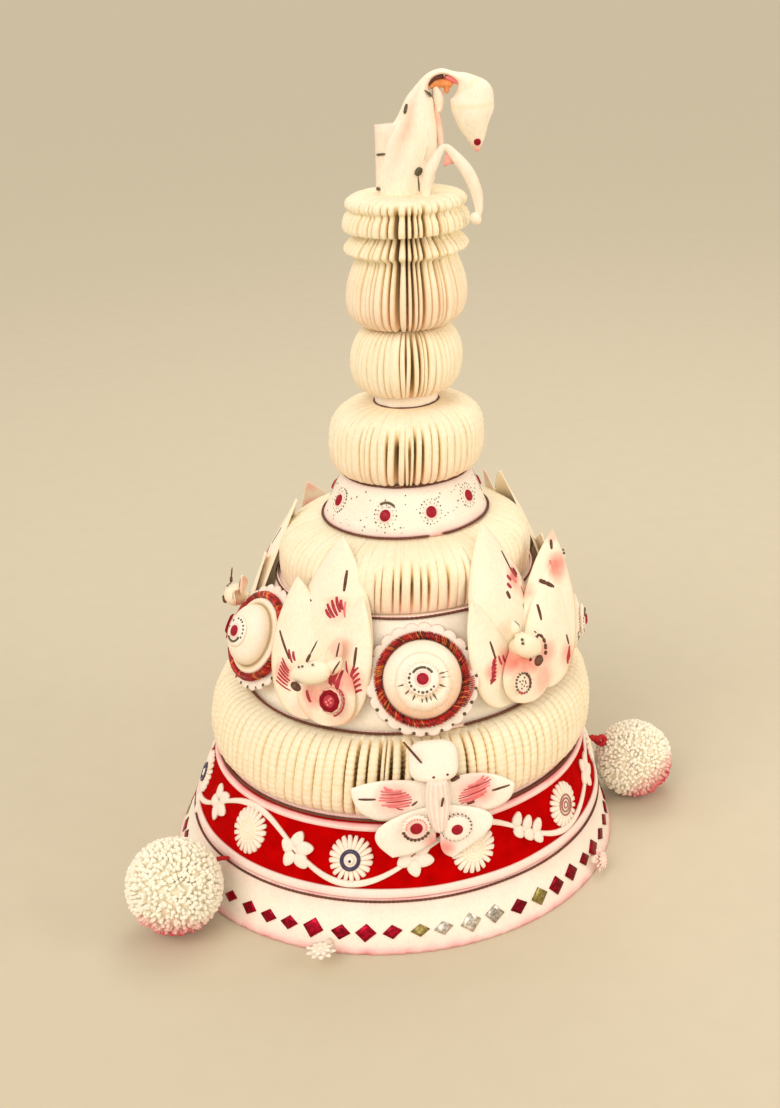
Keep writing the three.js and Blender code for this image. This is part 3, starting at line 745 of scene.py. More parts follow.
def bulge(low, widest, high, rows_below, rows_above, fullness=2.3):
    """A leaf's round edge through three (radius, height) points, as a list of such points."""
    power = 2 / fullness
    edge = []
    for i in range(rows_below):
        turn = pi / 2 * (1 - i / rows_below)
        edge.append((low[0] + (widest[0] - low[0]) * cos(turn) ** power,
                     widest[1] - (widest[1] - low[1]) * sin(turn) ** power))
    for i in range(rows_above + 1):
        turn = pi / 2 * i / rows_above
        edge.append((high[0] + (widest[0] - high[0]) * max(0.0, cos(turn)) ** power,
                     widest[1] + (high[1] - widest[1]) * sin(turn) ** power))
    return edge


def pleats(name, node, edge, core, leaves, gaps, sink, seed, opening, known, inner, quiet, scallop=0.22,
           ragged=0.4, dent_shade=0.0, smooth=(1000.0, 1.0), unequal=0.1):
    """A piece that is a ring of leaves. gaps is (at the sides, at the front), opening is (its angle, its
    spread), and sink is how far the gaps go in from the leaves' edge towards the core's (radius, height).
    known lists the (angle, width) of the widest gaps, which close over smooth's (height, distance). inner is
    the hole's radius, and quiet how strong the shade painted in the folds is away from the opening. scallop
    waves the leaves' edge, ragged is how far single leaves stand out, stitch how dark the shade painted for
    dents on them is, and unequal how much their widths differ. Shade is painted deep in the gaps and on the
    inner wall."""
    dice = random.Random(seed)
    pulls = []
    for k in range(leaves):
        away = ((360 * k / leaves - opening[0] + 180) % 360 - 180) / opening[1]
        pulls.append(1 + 0.3 * math.exp(-away * away) + dice.uniform(-unequal, unequal))
    ends, reached = [], -180.0 + dice.uniform(0, 1)
    for pull in pulls:
        ends.append(reached)
        reached += 360 * pull / sum(pulls)
    ends.append(ends[0] + 360)
    fixed = {}
    for angle, gap in known:
        away = [abs(end - angle) + (1000 if k in fixed else 0) for k, end in enumerate(ends)]
        k = away.index(min(away))
        ends[k] = angle
        fixed[k] = gap
    places = sorted(fixed)
    for first, second in zip(places, places[1:]):
        for k in range(first + 1, second):
            ends[k] = ends[first] + (ends[second] - ends[first]) * (k - first) / (second - first)
    lengths = [0.0]
    for first, second in zip(edge, edge[1:]):
        lengths.append(lengths[-1] + math.dist(first, second))
    leaf_marks = []
    for k in range(leaves + 1):
        away = ((ends[k] - opening[0] + 180) % 360 - 180) / opening[1]
        front = math.exp(-away * away)
        gap = (gaps[0] + (gaps[1] - gaps[0]) * front) * dice.uniform(0.55, 1.3)
        strength = quiet + (1 - quiet) * front * 0.55
        drop = dice.uniform(0.0, 0.7)
        if k in fixed:
            gap, strength, drop = fixed[k], min(1.0, 0.5 + 0.4 * fixed[k]), drop * 0.3
        out, phase, sway = dice.uniform(-ragged, ragged), dice.uniform(0, 6.3), dice.uniform(-0.4, 0.4)
        leaf_marks.append((gap, out, phase, sway, strength, drop))
    leaf_marks[-1] = leaf_marks[0]
    rows, marks = [], []
    for j, (radius, height) in enumerate(edge):
        share = lengths[j] / lengths[-1]
        swell = sin(pi * min(1.0, max(0.0, share))) ** 0.5
        core_height = core[1] + (core[2] if len(core) > 2 else 0.0) * (height - core[1])
        to_core = Vector((core[0] - radius, core_height - height))
        reach = max(to_core.length, 0.01)
        row, mark = [], []
        for k in range(leaves):
            gap, out, phase, sway, strength, drop = leaf_marks[k]
            next_gap, _, _, _, next_strength, next_drop = leaf_marks[k + 1]
            left, right = ends[k], ends[k + 1]
            degrees = math.degrees(1 / radius)
            bend = sway * sin(share * 5 + phase) * degrees * swell
            lip = scallop * sin(lengths[j] * 2.1 + phase) * swell
            crown = swell * (out + lip)
            dent = dent_shade * max(0.0, -sin(lengths[j] * 2.1 + phase)) * swell
            width = (right - left) / degrees
            half_gap, half_next = min(gap / 2, width * 0.32), min(next_gap / 2, width * 0.32)
            parted = [swell * max(0.0, min(1.0, (smooth[0] - height) / smooth[1] - later))
                      for later in (drop, next_drop)]
            edge_width = min(0.16 * width, 0.5 * (width - half_gap - half_next))
            section = (
                (0.0, sink, 1.0, 0), (half_gap * 0.9, sink * 0.42, 0.75, 0), (half_gap, 0.95, 0.3, 0),
                (half_gap + edge_width, 0.2, 0.05, 0), (width / 2, 0.0, 0.0, 0),
                (width - half_next - edge_width, 0.2, 0.05, 1), (width - half_next, 0.95, 0.3, 1),
                (width - half_next * 0.9, sink * 0.42, 0.75, 1),
            )
            for place, deep, painted_shade, side in section:
                inward = min(deep * parted[side] + 0.05, reach * 0.8)
                point = Vector((radius, height)) + to_core / reach * (inward - (crown if deep < 1 else 0.0))
                shift = bend if 0 < place else 0.0
                row.append(around(left + place * degrees + shift, point.x, point.y))
                # The lower part of each leaf is painted pink as shade, more so in its folds.
                low = max(0.0, 1 - share * 2.6)
                shown = painted_shade * parted[side] * (next_strength if side else strength)
                mark.append((shown + dent, 0.4 * low * (0.8 + 0.3 * painted_shade)))
        rows.append(row)
        marks.append(mark)
    for height in (edge[-1][1], edge[0][1]):
        rows.append([around(ends[0] + 360 * i / (leaves * 8), inner, height) for i in range(leaves * 8)])
        marks.append((0.6, 0.0))
    make_piece(name, [skin(rows, marks, ring=True)], [ring_pith], [node])


def box_of(node):
    """Lowest and highest corner of a CAD node in millimetres, and its largest radius."""
    low, high = (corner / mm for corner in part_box(node))
    return low, high, (high.y - low.y) / 2


low, high, widest = box_of("pleated_ring_1")
DRUM_LOW = Seam(box_of("drum")[2], high.z + 0.3, lean(high.z + 0.3))
edge = bulge((87.0, low.z + 1.2), (widest - 0.4, 70), (79.6, high.z), 24, 34)
front_gaps = ((-18.1, 0.8), (-14.95, 1.6), (-11.8, 1.3), (-8.2, 2.0), (-4.9, 1.3), (-1.6, 2.4), (13.2, 0.8),
              (17.0, 1.5), (19.7, 0.9), (23.3, 0.8), (25.6, 0.7))
pleats("pleats_1", "pleated_ring_1", edge, (76, 77), 118, (0.35, 1.1), 8.0, 1, (-3.0, 14.0), front_gaps,
       73.2, 0.5, dent_shade=0.3)

# ---- Drum ----
# A cone of white pith sheet over card, hollow inside, that carries the medallions and birds. A narrow
# pink strip runs along its foot and its top, under the cords.
drum_wall = (DRUM_LOW, ROOF)
skirt = 72.6
drum_inside = (
    (skirt, DRUM_LOW.height), (skirt, BAND_TOP.height + 0.4), (skirt - 2.4, BAND_TOP.height + 0.4),
    (skirt - 2.4, DRUM_LOW.height + 13.6), (ROOF.radius - 4, ROOF.height - 2.5), (0.5, ROOF.height - 2.5),
)
drum_skin = []
for angle in angles_round:
    dent = 0.25 * noise.noise(around(angle, 2, 0) * 0.8 + Vector((0, 0, 8)))
    row = [around(angle, 0.5, ROOF.height), around(angle, ROOF.radius - 1, ROOF.height)]
    row.append(on_wall(drum_wall, angle, ROOF.height - 0.6))
    row += [on_wall(drum_wall, angle, height, dent) for height in (138, 129, 120, 111, 102)]
    row.append(on_wall(drum_wall, angle, DRUM_LOW.height))
    drum_skin.append(row + [around(angle, radius, height) for radius, height in drum_inside])
make_piece("drum_sheet", [skin(drum_skin, ring=True)], [white_pith], ["drum"])
make_piece("drum_strips", [
    edging(drum_wall, DRUM_LOW.height + 0.05, DRUM_LOW.height + 1.5, 0.7, 21, 0.35, 0.25, 0.1),
    edging(drum_wall, ROOF.height - 0.5, ROOF.height + 1.1, 0.7, 22, 0.15, 0.3, 0.1),
], [pink_pith])
seam_cord("drum_lower_cord", drum_wall, DRUM_LOW.height + 0.9, 0.75, 5, [(8.8, 9.8)])
seam_cord("drum_upper_cord", drum_wall, ROOF.height + 0.1, 0.72, 6)

# ---- Medallions ----
# Five stand round the drum: a scalloped card on a stub, a rope of red and amber sequins threaded round
# it, a domed flower of folded pith, and on its tip a punched white boss with a red bead.
figure_count = 5
# (angle, height, turn, tip, how far out, plain) of each medallion: they were stuck on by eye.
medallion_poses = (
    (5.0, 118, -5, -11, 0, False), (81.0, 116, 0, 12, -2.4, False), (150.5, 117, 0, 0, 0, False),
    (222.5, 117, 0, 0, 0, False), (291.5, 121.3, 8.5, -8, 0, True),
)
red_bead = uneven_material("crimson bead", 0.5, rgb(124, 0, 20), rgb(190, 4, 44), 700.0,
                           Coat_Weight=0.08, Specular_IOR_Level=0.25)
# This dark olive serves for holes and for painted shadow: dots on a card's lower lobes, dashes between a
# dome's folds, an arc on a boss and a patch on the finial.
shadow_and_punched = uneven_material("punched hole", 0.9, rgb(62, 54, 36), rgb(124, 114, 86), 500.0)


def sequin_material(name, dark, light):
    """Small glossy sequins, each a little different."""
    material, shader = new_material(name, 0.32, Coat_Weight=0.3, Metallic=0.35)
    tree = material.node_tree
    place = add_node(tree, "TexCoord").outputs["Object"]
    cells = add_node(tree, "TexVoronoi", Vector=place, Scale=520.0).outputs["Color"]
    bright = add_node(tree, "SeparateXYZ", Vector=cells).outputs[0]
    tree.links.new(mix_colour(tree, bright, dark, light), shader.inputs["Base Color"])
    return material


red_sequin = sequin_material("red sequins", rgb(140, 2, 6), rgb(214, 40, 20))
amber_sequin = sequin_material("amber sequins", rgb(170, 70, 16), rgb(240, 140, 66))
dark_sequin = sequin_material("brown sequins", rgb(70, 14, 8), rgb(140, 44, 16))
petal_white = pith_material("white folded pith", rgb(255, 246, 230), rgb(255, 228, 188), rgb(120, 96, 66),
                            rgb(252, 190, 150), fineness=1.0)


def seat(wall, angle, height, twist=0.0):
    """A matrix for a figure on a wall: X runs round to the right, Y up the wall and Z straight out."""
    here = on_wall(wall, angle, height)
    across = Vector((cos(radians(angle)), sin(radians(angle)), 0))
    up = on_wall(wall, angle, height + 1) - here
    out = across.cross(up).normalized()
    up = out.cross(across)
    turned = Matrix((across, up, out)).transposed().to_4x4()
    return Matrix.Translation(here) @ turned @ spin(twist, "Y")


def circle_rows(profile, sides, lobes=None):
    """Rows of circles about Z from (radius, height) points. lobes gives a radius and height change."""
    rows = []
    for level, (radius, height) in enumerate(profile):
        row = []
        for turn in full_turn(sides):
            more, lift = lobes(level, turn) if lobes else (0.0, 0.0)
            row.append(spoke(radius + more, turn, height + lift))
        rows.append(row)
    return rows


def turned_piece(profile, sides, at):
    """A plain round shape about Z from (radius, height) points, moved to a point."""
    return moved(skin(circle_rows(profile, sides)), Matrix.Translation(at))


def flat_dot(at, radius, rise, look=0, sides=8, shade=(0.0, 0.0), normal=Vector((0, 0, 1))):
    """A small domed dot at a point, facing along a direction."""
    rows = circle_rows([(radius, -0.2), (radius * 0.92, rise * 0.6), (radius * 0.5, rise)], sides)
    return moved(skin(rows, shade, look=look), Matrix.Translation(at) @ facing(normal))


def stick(start, end, radius, look=0, sides=6, blunt=0.35):
    """A thin straight rod that narrows at both ends."""
    far = (end - start).length
    profile = [(radius * 0.6, 0), (radius, far * 0.25), (radius * 0.9, far * 0.75), (radius * blunt, far)]
    shape = skin(circle_rows(profile, sides), look=look)
    return moved(shape, Matrix.Translation(start) @ facing(end - start))


scallops = 24
dome_folds = 30


def teeth(size, count, levels):
    """Small teeth round some levels of a round shape."""
    def toothed(level, turn):
        return (size * cos(turn * count) if level in levels else 0.0, 0.0)

    return toothed


def scalloped(level, turn):
    """The card's outline: round lobes with small notches between them."""
    lobe = abs(sin(turn * scallops / 2)) ** 0.55
    return (1.7 * (lobe - 1), 0.0) if level in (1, 2, 3) else (0.0, 0.0)


def medallion_card():
    """A scalloped card on a round stub, with shade painted under it and on the stub, and dark dots painted
    as shadow on the lobes below and on the right.
    """
    profile = [(8.8, 3.9), (24.8, 4.4), (25.7, 5.0), (25.0, 5.7), (20, 6.1), (6, 6.3)]
    shades = [(0.5, 0.0), (0.4, 0.1), (0.12, 0.3), (0.04, 0.12), (0.05, 0.05), (0.0, 0.0)]
    shapes = [skin(circle_rows(profile, 192, scalloped), shades),
              skin(circle_rows([(8.8, 0.5), (8.8, 4.4)], 24), (0.4, 0.0))]
    for i in range(scallops):
        turn = 2 * pi * (i + uniform(-0.1, 0.1)) / scallops
        size = uniform(0.6, 0.95)
        if sin(turn - 0.5) < 0.1:
            shapes.append(flat_dot(spoke(24.2, turn, 5.7), size, 0.12, 1))
    return shapes


def medallion_sequins():
    """Thin sequins threaded side by side like coins, so that their edges make a slanted rope. A short
    second row of small ones lies outside it on the right."""
    count, second_count, reach, thread = 150, 16, 19.7, 1.2
    rows = [[spoke(reach + thread * cos(roll), turn, 8.0 + thread * sin(roll))
             for roll in full_turn(8)] for turn in full_turn(72)]
    shapes = [skin(rows, ring=True, look=2)]

    def threaded(turn, out, radius, look):
        """One sequin on edge across the thread at an angle round the medallion."""
        place = Matrix.Rotation(turn, 4, "Z") @ Matrix.Translation((reach + out, 0, 8.1))
        place = place @ spin(uniform(24, 32), "Z")
        place = place @ spin(90 + uniform(-4, 4), "X")
        profile = [(radius * 0.86, -0.28), (radius, -0.1), (radius, 0.13), (radius * 0.82, 0.3)]
        return moved(skin(circle_rows(profile, 9), look=look), place)

    for i in range(count):
        turn = 2 * pi * (i + uniform(-0.1, 0.1)) / count
        patch = uneven_at(cos(turn) * 1.8, sin(turn) * 1.8, 3)
        draw = random.random() + 0.25 * patch
        look = 1 if draw < 0.2 else 2 if draw < 0.36 else 0
        shapes.append(threaded(turn, uniform(-0.1, 0.1), 2.25 * uniform(0.97, 1.03), look))
    for i in range(second_count):
        turn = radians(-2 - 2.4 * i)
        shapes.append(threaded(turn, 3.0 - 0.1 * abs(i - 5), 1.0, 2 if i > 13 else 0))
    return shapes


def folded(level, turn):
    """Radial folds of the dome near its tip, deepest on its lower half."""
    depth = (0, 0, 0.1, 0.15, 0.3, 1.0, 1.6, 1.7, 0.6)[level]
    side = 0.3 + 0.7 * max(0.0, min(1.0, 0.35 - sin(turn - 0.35)))
    valley = abs(cos(turn * dome_folds / 2)) ** 8
    waver = 0.35 * uneven_at(cos(turn) * 3, sin(turn) * 3, level * 0.4)
    return -depth * valley * side * 0.25, waver - depth * valley * side


def cape_edge(level, turn):
    """The lobed edge of the thin cape, which shows on the lower half only."""
    lower = max(0.0, -sin(turn)) ** 0.6
    lobe = 0.6 * abs(sin(turn * 5.5 + 0.4))
    return (lower * (1.7 + lobe), -0.7 * lower) if level in (1, 2) else (0.0, 0.0)


def medallion_flower(plain):
    """The domed flower, with its boss and bead. The plain one is smaller and has no folds."""
    sides = dome_folds * 8
    if plain:
        profile = [(17.9, 6.9), (18.1, 9.4), (17.2, 10.2), (14.6, 10.5), (14.5, 12.2), (13.4, 14.8),
                   (11.0, 17.1), (8.0, 18.5), (4.0, 19.0)]
        # The plain dome is painted with a dark ring of shade where it rises from its base, and lighter shade
        # at its outer foot and under the boss.
        creases = (0.3, 0.1, 0.05, 0.85, 0.35, 0.05, 0.0, 0.1, 0.3)
        shapes = [skin(circle_rows(profile, sides), [(painted_shade, 0.05) for painted_shade in creases])]
    else:
        profile = [(17.4, 6.9), (17.5, 9.2), (16.9, 11.4), (15.4, 13.8), (13.0, 15.6), (10.6, 16.9),
                   (8.4, 17.8), (6.4, 18.4), (4.0, 18.8)]
        # Shade is painted in the folds, stronger on the lower right side, and a peach painted shade lies
        # over that side, most near the dome's foot.
        depths = (0, 0, 0.05, 0.1, 0.2, 0.6, 0.8, 0.8, 0.5)
        shade_levels = (0.5, 0.6, 0.75, 0.7, 0.55, 0.45, 0.35, 0.2, 0.0)
        shades = []
        for depth, shade_level in zip(depths, shade_levels):
            row = []
            for turn in full_turn(sides):
                valley = abs(cos(turn * dome_folds / 2)) ** 8
                side = max(0.0, min(1.0, 0.35 - sin(turn - 0.35)))
                row.append((valley * depth * (0.25 + 0.75 * side) + 0.12 * side * shade_level, shade_level * side * 0.85))
            shades.append(row)
        shapes = [skin(circle_rows(profile, sides, folded), shades)]
        # The cape's lower side is painted darker and pinker as shade.
        cape = [(10.4, 16.4), (12.0, 16.0), (12.0, 16.4), (10.4, 17.3)]
        cape_shades = [(0.3, 0.4), (0.25, 0.5), (0.1, 0.3), (0.0, 0.0)]
        shapes.append(skin(circle_rows(cape, sides, cape_edge), cape_shades))
        # Dark dashes on the lower half are painted shade in the gaps between the folds near the boss.
        for turn in full_turn(dome_folds):
            low = uniform(7.7, 8.8)
            high = low + uniform(1.0, 4.4)
            thick = uniform(0.22, 0.42)
            if -sin(turn - 0.2) > -0.1 and random.random() < 0.75:
                ends = [spoke(reach, turn, 18.05 - 0.055 * (reach - 6.0) ** 1.9) for reach in (low, high)]
                shapes.append(stick(*ends, thick, 2, 5))
    boss = [(5.4, 18.4), (7.0, 18.9), (7.3, 19.5), (6.9, 20.0), (4.8, 20.7), (2.6, 20.9)]
    hole_count = 19
    tip = [skin(circle_rows(boss, 112, teeth(0.28, 28, (1, 2))), (0.0, 0.05), look=1)]
    for i in range(hole_count):
        turn = 2 * pi * (i + uniform(-0.15, 0.15)) / hole_count
        # On the upper side, short dark sticks make an arc that is a painted shadow line.
        if sin(turn) > 0.5:
            spot, along = spoke(5.0, turn, 20.75), Vector((-sin(turn), cos(turn), 0)) * 0.9
            tip.append(stick(spot - along, spot + along, 0.6, 2, 6, 0.8))
        elif cos(turn) < 0.2 or random.random() < 0.35:
            tip.append(flat_dot(spoke(5.9, turn, 20.3), uniform(0.55, 0.85), 0.14, 2,
                                normal=spoke(0.2, turn, 1)))
    tip.append(flat_dot((0, 0, 20.8), 4.0, 0.25, 3, 24, (0.0, 0.3)))
    tip.append(flat_dot((0, 0, 21.0), 2.7, 1.0, 4, 20))
    seated = Matrix.Translation((0, 0, -0.2 if plain else 0)) @ Matrix.Rotation(3.5 if plain else 0, 4, "Z")
    return shapes + [moved(shape, seated) for shape in tip]


for number, (angle, height, turned, tipped, forward, plain) in enumerate(medallion_poses, 1):
    place = seat(drum_wall, angle, height, turned) @ spin(tipped, "X")
    place = place @ Matrix.Translation((0, 0, forward))
    make_piece(f"medallion_card_sheet_{number}", medallion_card(), [white_pith, shadow_and_punched],
               [f"medallion_card_{number}"], place)
    make_piece(f"medallion_sequins_{number}", medallion_sequins(), [red_sequin, amber_sequin, dark_sequin],
               [f"medallion_ring_{number}"], place)
    make_piece(f"medallion_flower_{number}", medallion_flower(plain),
               [petal_white, white_pith, shadow_and_punched, pink_pith, red_bead],
               [f"medallion_dome_{number}"], place)

# ---- Birds ----
# Between the medallions stand five birds of carved pith. Tall petals fixed to the drum are the tail and
# the wings, with feather strokes and veins painted on. An egg of pith in front of them is the body.
first_bird = -29.5
bird_height = 104
petal_thickness = 0.9


def brushed(name, dark, light):
    """Dye put on with a brush, thin in some places."""
    return uneven_material(name, 0.75, dark, light, 420.0, 3.0, Specular_IOR_Level=0.2)


brush_red = brushed("brushed red dye", rgb(150, 14, 38), rgb(220, 86, 94))
# This dark brush colour serves for painted lines and for painted shade: a hollow and a fold's shadow on a
# tail, the curls' shadow lines and a shadow arc under a butterfly rosette.
brush_dark_and_shade = brushed("brushed dark line", rgb(64, 34, 26), rgb(138, 92, 74))
brush_pink = brushed("brushed pink dye", rgb(236, 84, 100), rgb(255, 168, 158))
brush_crimson = brushed("brushed crimson dye", rgb(104, 0, 16), rgb(168, 8, 30))
petal_pith = pith_material("bird petal pith", rgb(255, 246, 226), rgb(255, 226, 184), rgb(140, 112, 70),
                           rgb(250, 122, 106), fineness=0.9)


def petal(foot, tilt, length, width, rise, bow, curl, cup=3.0, roll=0.0, belly=0.36):
    """A petal with a round foot and a pointed tip. Its first function takes (across, along) from -1 to 1
    and 0 to 1, and its second a place in front of the wall, and both give a point on it. belly is how
    far up it is widest."""
    turned = spin(-tilt, "Z")
    back = turned.inverted()

    def half_at(along):
        below = sqrt(max(0.0, 1 - max(0.0, (belly - along) / belly) ** 2.4))
        above = cos(pi / 2 * max(0.0, (along - belly) / (1 - belly))) ** 0.85
        return 0.5 * width * below * above + 0.15

    def out_at(across, along):
        ripple = 0.6 * uneven_at(across * 1.7, along * 4, tilt * 0.1 + length)
        out = rise + bow * sin(pi * min(1.0, along)) ** 1.2 + curl * max(along, 0.0) ** 3
        out += roll * half_at(along) * across
        return out - cup * abs(across) ** 2.2 * sin(pi * min(1.0, along)) - ripple * along

    def surface(across, along, lift=0.0):
        point = turned @ Vector((half_at(along) * across, length * along, out_at(across, along) + lift))
        return point + Vector((foot[0], foot[1], 0))

    def over(x, y, lift):
        local = back @ Vector((x - foot[0], y - foot[1], 0))
        along = min(0.97, max(0.03, local.y / length))
        across = max(-1.0, min(1.0, local.x / half_at(along)))
        return Vector((x, y, out_at(across, along) + lift))

    return surface, over


def thin_sheet(surface, alongs, wide, thick, thinner, shade_at):
    """A closed thin sheet over a surface, with rows at steps along it, thinner at its edges. shade_at
    gives a point's shade from (side, across, along, point), where side is 1 in front and -1 behind."""
    rows, shades = [], []
    for along in alongs:
        row, row_shades = [], []
        for side in (1, -1):
            for j in range(wide):
                across = side * (2 * j / (wide - 1) - 1)
                point = surface(across, along, side * thick / 2 * (1 - thinner * abs(across) ** 6))
                row.append(point)
                row_shades.append(shade_at(side, across, along, point))
        rows.append(row)
        shades.append(row_shades)
    return skin(rows, shades)


def petal_sheet(surface, blush, steps=34, wide=21):
    """The sheet of a petal, with shade painted at its edges and foot and over its back. blush gives how pink
    it is at a point.
    """
    def shade_at(side, across, along, point):
        edge_and_foot_shade = 0.3 * abs(across) ** 7 + 0.16 * (1 - along) ** 4
        return 0.12 if side < 0 else edge_and_foot_shade, blush(point)

    alongs = [(1 - cos(pi * i / steps)) / 2 for i in range(steps + 1)]
    return thin_sheet(surface, alongs, wide, petal_thickness, 0.75, shade_at)


def stroke(over, start, end, width, look, bend=0.0):
    """One brush stroke over a petal between two places in front of the wall, thick in its middle."""
    rows = []
    steps, lift = 7, 0.45
    along = Vector((end[0] - start[0], end[1] - start[1], 0))
    side = along.cross(Vector((0, 0, 1))).normalized()
    for i in range(steps):
        share = i / (steps - 1)
        off = side * bend * sin(pi * share)
        x, y = start[0] + along.x * share + off.x, start[1] + along.y * share + off.y
        half = 0.58 * width * (0.4 + 0.6 * sin(pi * (0.12 + 0.8 * share)) ** 0.7)
        left = over(x - side.x * half, y - side.y * half, lift)
        right = over(x + side.x * half, y + side.y * half, lift)
        middle = over(x, y, lift)
        rows.append([left, middle + Vector((0, 0, 0.14)), right, middle - Vector((0, 0, 0.35))])
    return skin(rows, look=look)


def barbs(over, first, last, count, shape_first, shape_last, width):
    """A row of brush strokes: their starts run from first to last, and their directions change too."""
    strokes = []
    for i in range(count):
        share = i / (count - 1)
        start = Vector(first).lerp(Vector(last), share)
        reach = Vector(shape_first).lerp(Vector(shape_last), share) * uniform(0.85, 1.1)
        strokes.append(stroke(over, start, start + reach, width * uniform(0.6, 0.85), 1, 0.3))
    return strokes


def egg(long, wide, fine, sides=24, steps=18, look=0):
    """A round body along X that narrows towards +X, where fine says by how much."""
    profile = []
    for i in range(steps + 1):
        turn = pi * i / steps
        share = (1 - cos(turn)) / 2
        radius = wide / 2 * sin(turn) ** 0.9 * (1 - fine * share ** 1.5) + 0.02
        profile.append((radius, (share - 0.5) * long))
    shape = skin(circle_rows(profile, sides), (0.0, 0.05), look=look)
    return moved(shape, spin(90, "Y"))


# The petals are (foot, tilt, length, width, rise, bow, curl, cup, roll, belly). A bird that looks to the
# right has one wing more, which spreads behind the right one.
tail_shape = ((0, -2), 0, 81, 42, 1.4, 6.5, 1.4, 6.0)
left_looking = {
    "right": ((5.5, -6), 9.5, 61, 26, 4.0, 3.6, 3.2, 3.2),
    "left": ((-8, -6), -9.5, 65, 31, 4.4, 4.0, 2.2, 3.2, -0.1),
    "breast": ((2.0, -6.5), 4, 36, 30, 6.6, 5.0, 1.0, 4.0),
}
right_looking = {
    "far": ((13, -4), 18.5, 72, 34, 7.4, 3.0, 3.0, 2.2, 0.1),
    "right": ((11.5, -4.5), 18, 57, 31, 8.2, 4.0, 2.6, 3.0, 0.05, 0.3),
    "left": ((-9, -4.5), -12, 54, 29, 4.0, 4.0, 2.4, 3.6),
    "breast": ((0.5, -6.5), 2, 33, 31, 9.6, 3.2, 1.0, 4.2),
}
# (across, up, size, strength) of the places where pink dye has spread in the pith.
left_blushes = (
    (8.8, 15.2, 6.5, 0.8), (3.6, 8.6, 6.0, 0.6), (-2.4, 6.6, 8.0, 0.7), (-20.0, 13.5, 7.0, 0.6),
    (14.6, 16.0, 7.5, 0.55), (3.6, 46.6, 6.5, 0.55), (-9.0, -4.0, 9.0, 0.22), (10.0, 30.0, 6.0, 0.4),
    (12.0, -2.0, 9.0, 0.25),
)
right_blushes = (
    (8.6, 50.4, 6.0, 0.8), (-18.4, 15.0, 5.5, 0.6), (-9.0, 16.0, 8.0, 0.75), (-2.0, 13.2, 8.0, 0.7),
    (2.0, 10.8, 6.0, 0.6),
    (33.2, 47.5, 8.0, 0.75), (13.0, 12.0, 8.0, 0.45), (8.0, 2.0, 10.0, 0.4), (27.5, 6.0, 7.0, 0.55),
    (13.0, 42.0, 5.0, 0.5), (34.5, 62.0, 5.0, 0.4),
)
# A petal's brush strokes are (across, up, to across, to up, width, look, bend). Rows of strokes are
# (petal, first start, last start, how many, first direction, last direction, width).
left_strokes = {
    "tail": (
        (5.8, 55.0, 5.3, 64.4, 1.3, 2), (-1.6, 45.8, 1.8, 42.4, 1.35, 1, 0.35),
        (-1.2, 48.4, 3.4, 42.8, 1.35, 1, 0.35), (0.8, 50.4, 4.7, 43.8, 1.35, 1, 0.35),
        (2.8, 52.2, 5.8, 45.6, 1.35, 1, 0.35), (5.2, 51.2, 6.6, 46.8, 1.35, 1, 0.35),
        (7.4, 50.6, 8.2, 43.6, 0.9, 3, 0.4), (-17.4, 51.3, -10.4, 48.0, 1.2, 2),
    ),
    "left": ((-24.0, 32.6, -17.2, 20.6, 1.15, 2),),
    "right": ((15.8, 31.4, 15.6, 22.6, 1.15, 2), (15.6, 23.0, 13.8, 14.4, 1.2, 1)),
    "breast": ((-5.6, 8.4, -3.2, 3.2, 1.7, 1, 0.3),),
}
left_rows = (
    ("left", (-21.0, 20.4), (-24.0, 9.4), 7, (3.8, -5.0), (8.0, -3.4), 1.25),
    ("left", (-17.8, 25.0), (-15.4, 24.4), 2, (2.2, -5.6), (1.4, -4.6), 1.5),
    ("right", (11.6, 24.4), (8.6, 22.6), 2, (2.2, -8.2), (1.8, -6.8), 1.2),
    ("right", (17.6, 22.6), (19.6, 12.6), 5, (-3.4, -5.2), (-3.8, -2.6), 1.3),
    ("breast", (7.0, 20.2), (10.8, 20.2), 3, (-0.8, -7.4), (-0.4, -8.0), 1.9),
    ("breast", (7.8, 17.4), (10.0, 17.0), 2, (-0.6, -5.4), (-0.4, -5.6), 1.3),
)
# In the right-looking bird's tail the last three strokes are painted shade: two dark patches for the hollow
# between the tail and the near wing, and a thin line for a fold's shadow above them.
right_strokes = {
    "tail": (
        (6.5, 63.6, 8.0, 54.4, 1.15, 2), (3.8, 52.8, 5.6, 49.8, 1.5, 1), (2.2, 49.4, 4.2, 46.6, 1.5, 1),
        (0.6, 46.2, 1.6, 42.4, 1.7, 2), (8.2, 54.6, 10.8, 49.6, 2.0, 1), (10.4, 54.0, 12.2, 50.4, 1.6, 2),
        (6.4, 52.2, 9.2, 47.6, 1.7, 3), (10.6, 37.0, 10.9, 31.0, 2.4, 2), (12.6, 37.0, 12.9, 31.0, 2.2, 2),
        (12.2, 44.6, 13.2, 37.6, 0.6, 2),
    ),
    "far": ((33.3, 60.4, 32.2, 56.0, 1.5, 2), (29.6, 51.6, 29.0, 45.6, 1.2, 3)),
    "right": ((20.6, 44.8, 27.2, 39.4, 1.9, 2), (15.2, 35.0, 14.4, 27.6, 1.25, 2),
              (27.9, 15.8, 29.0, 10.6, 1.2, 2)),
    "left": ((-16.8, 28.4, -15.8, 19.4, 1.2, 2),),
}
right_rows = (
    ("right", (29.4, 9.6), (27.6, 6.4), 3, (-0.6, -5.4), (-0.6, -4.6), 2.2),
    ("left", (-15.2, 20.6), (-17.4, 10.6), 7, (-3.4, -3.0), (-3.4, -1.4), 1.6),
    ("left", (-13.6, 20.4), (-10.8, 19.6), 2, (1.0, -4.4), (1.4, -4.6), 1.4),
)
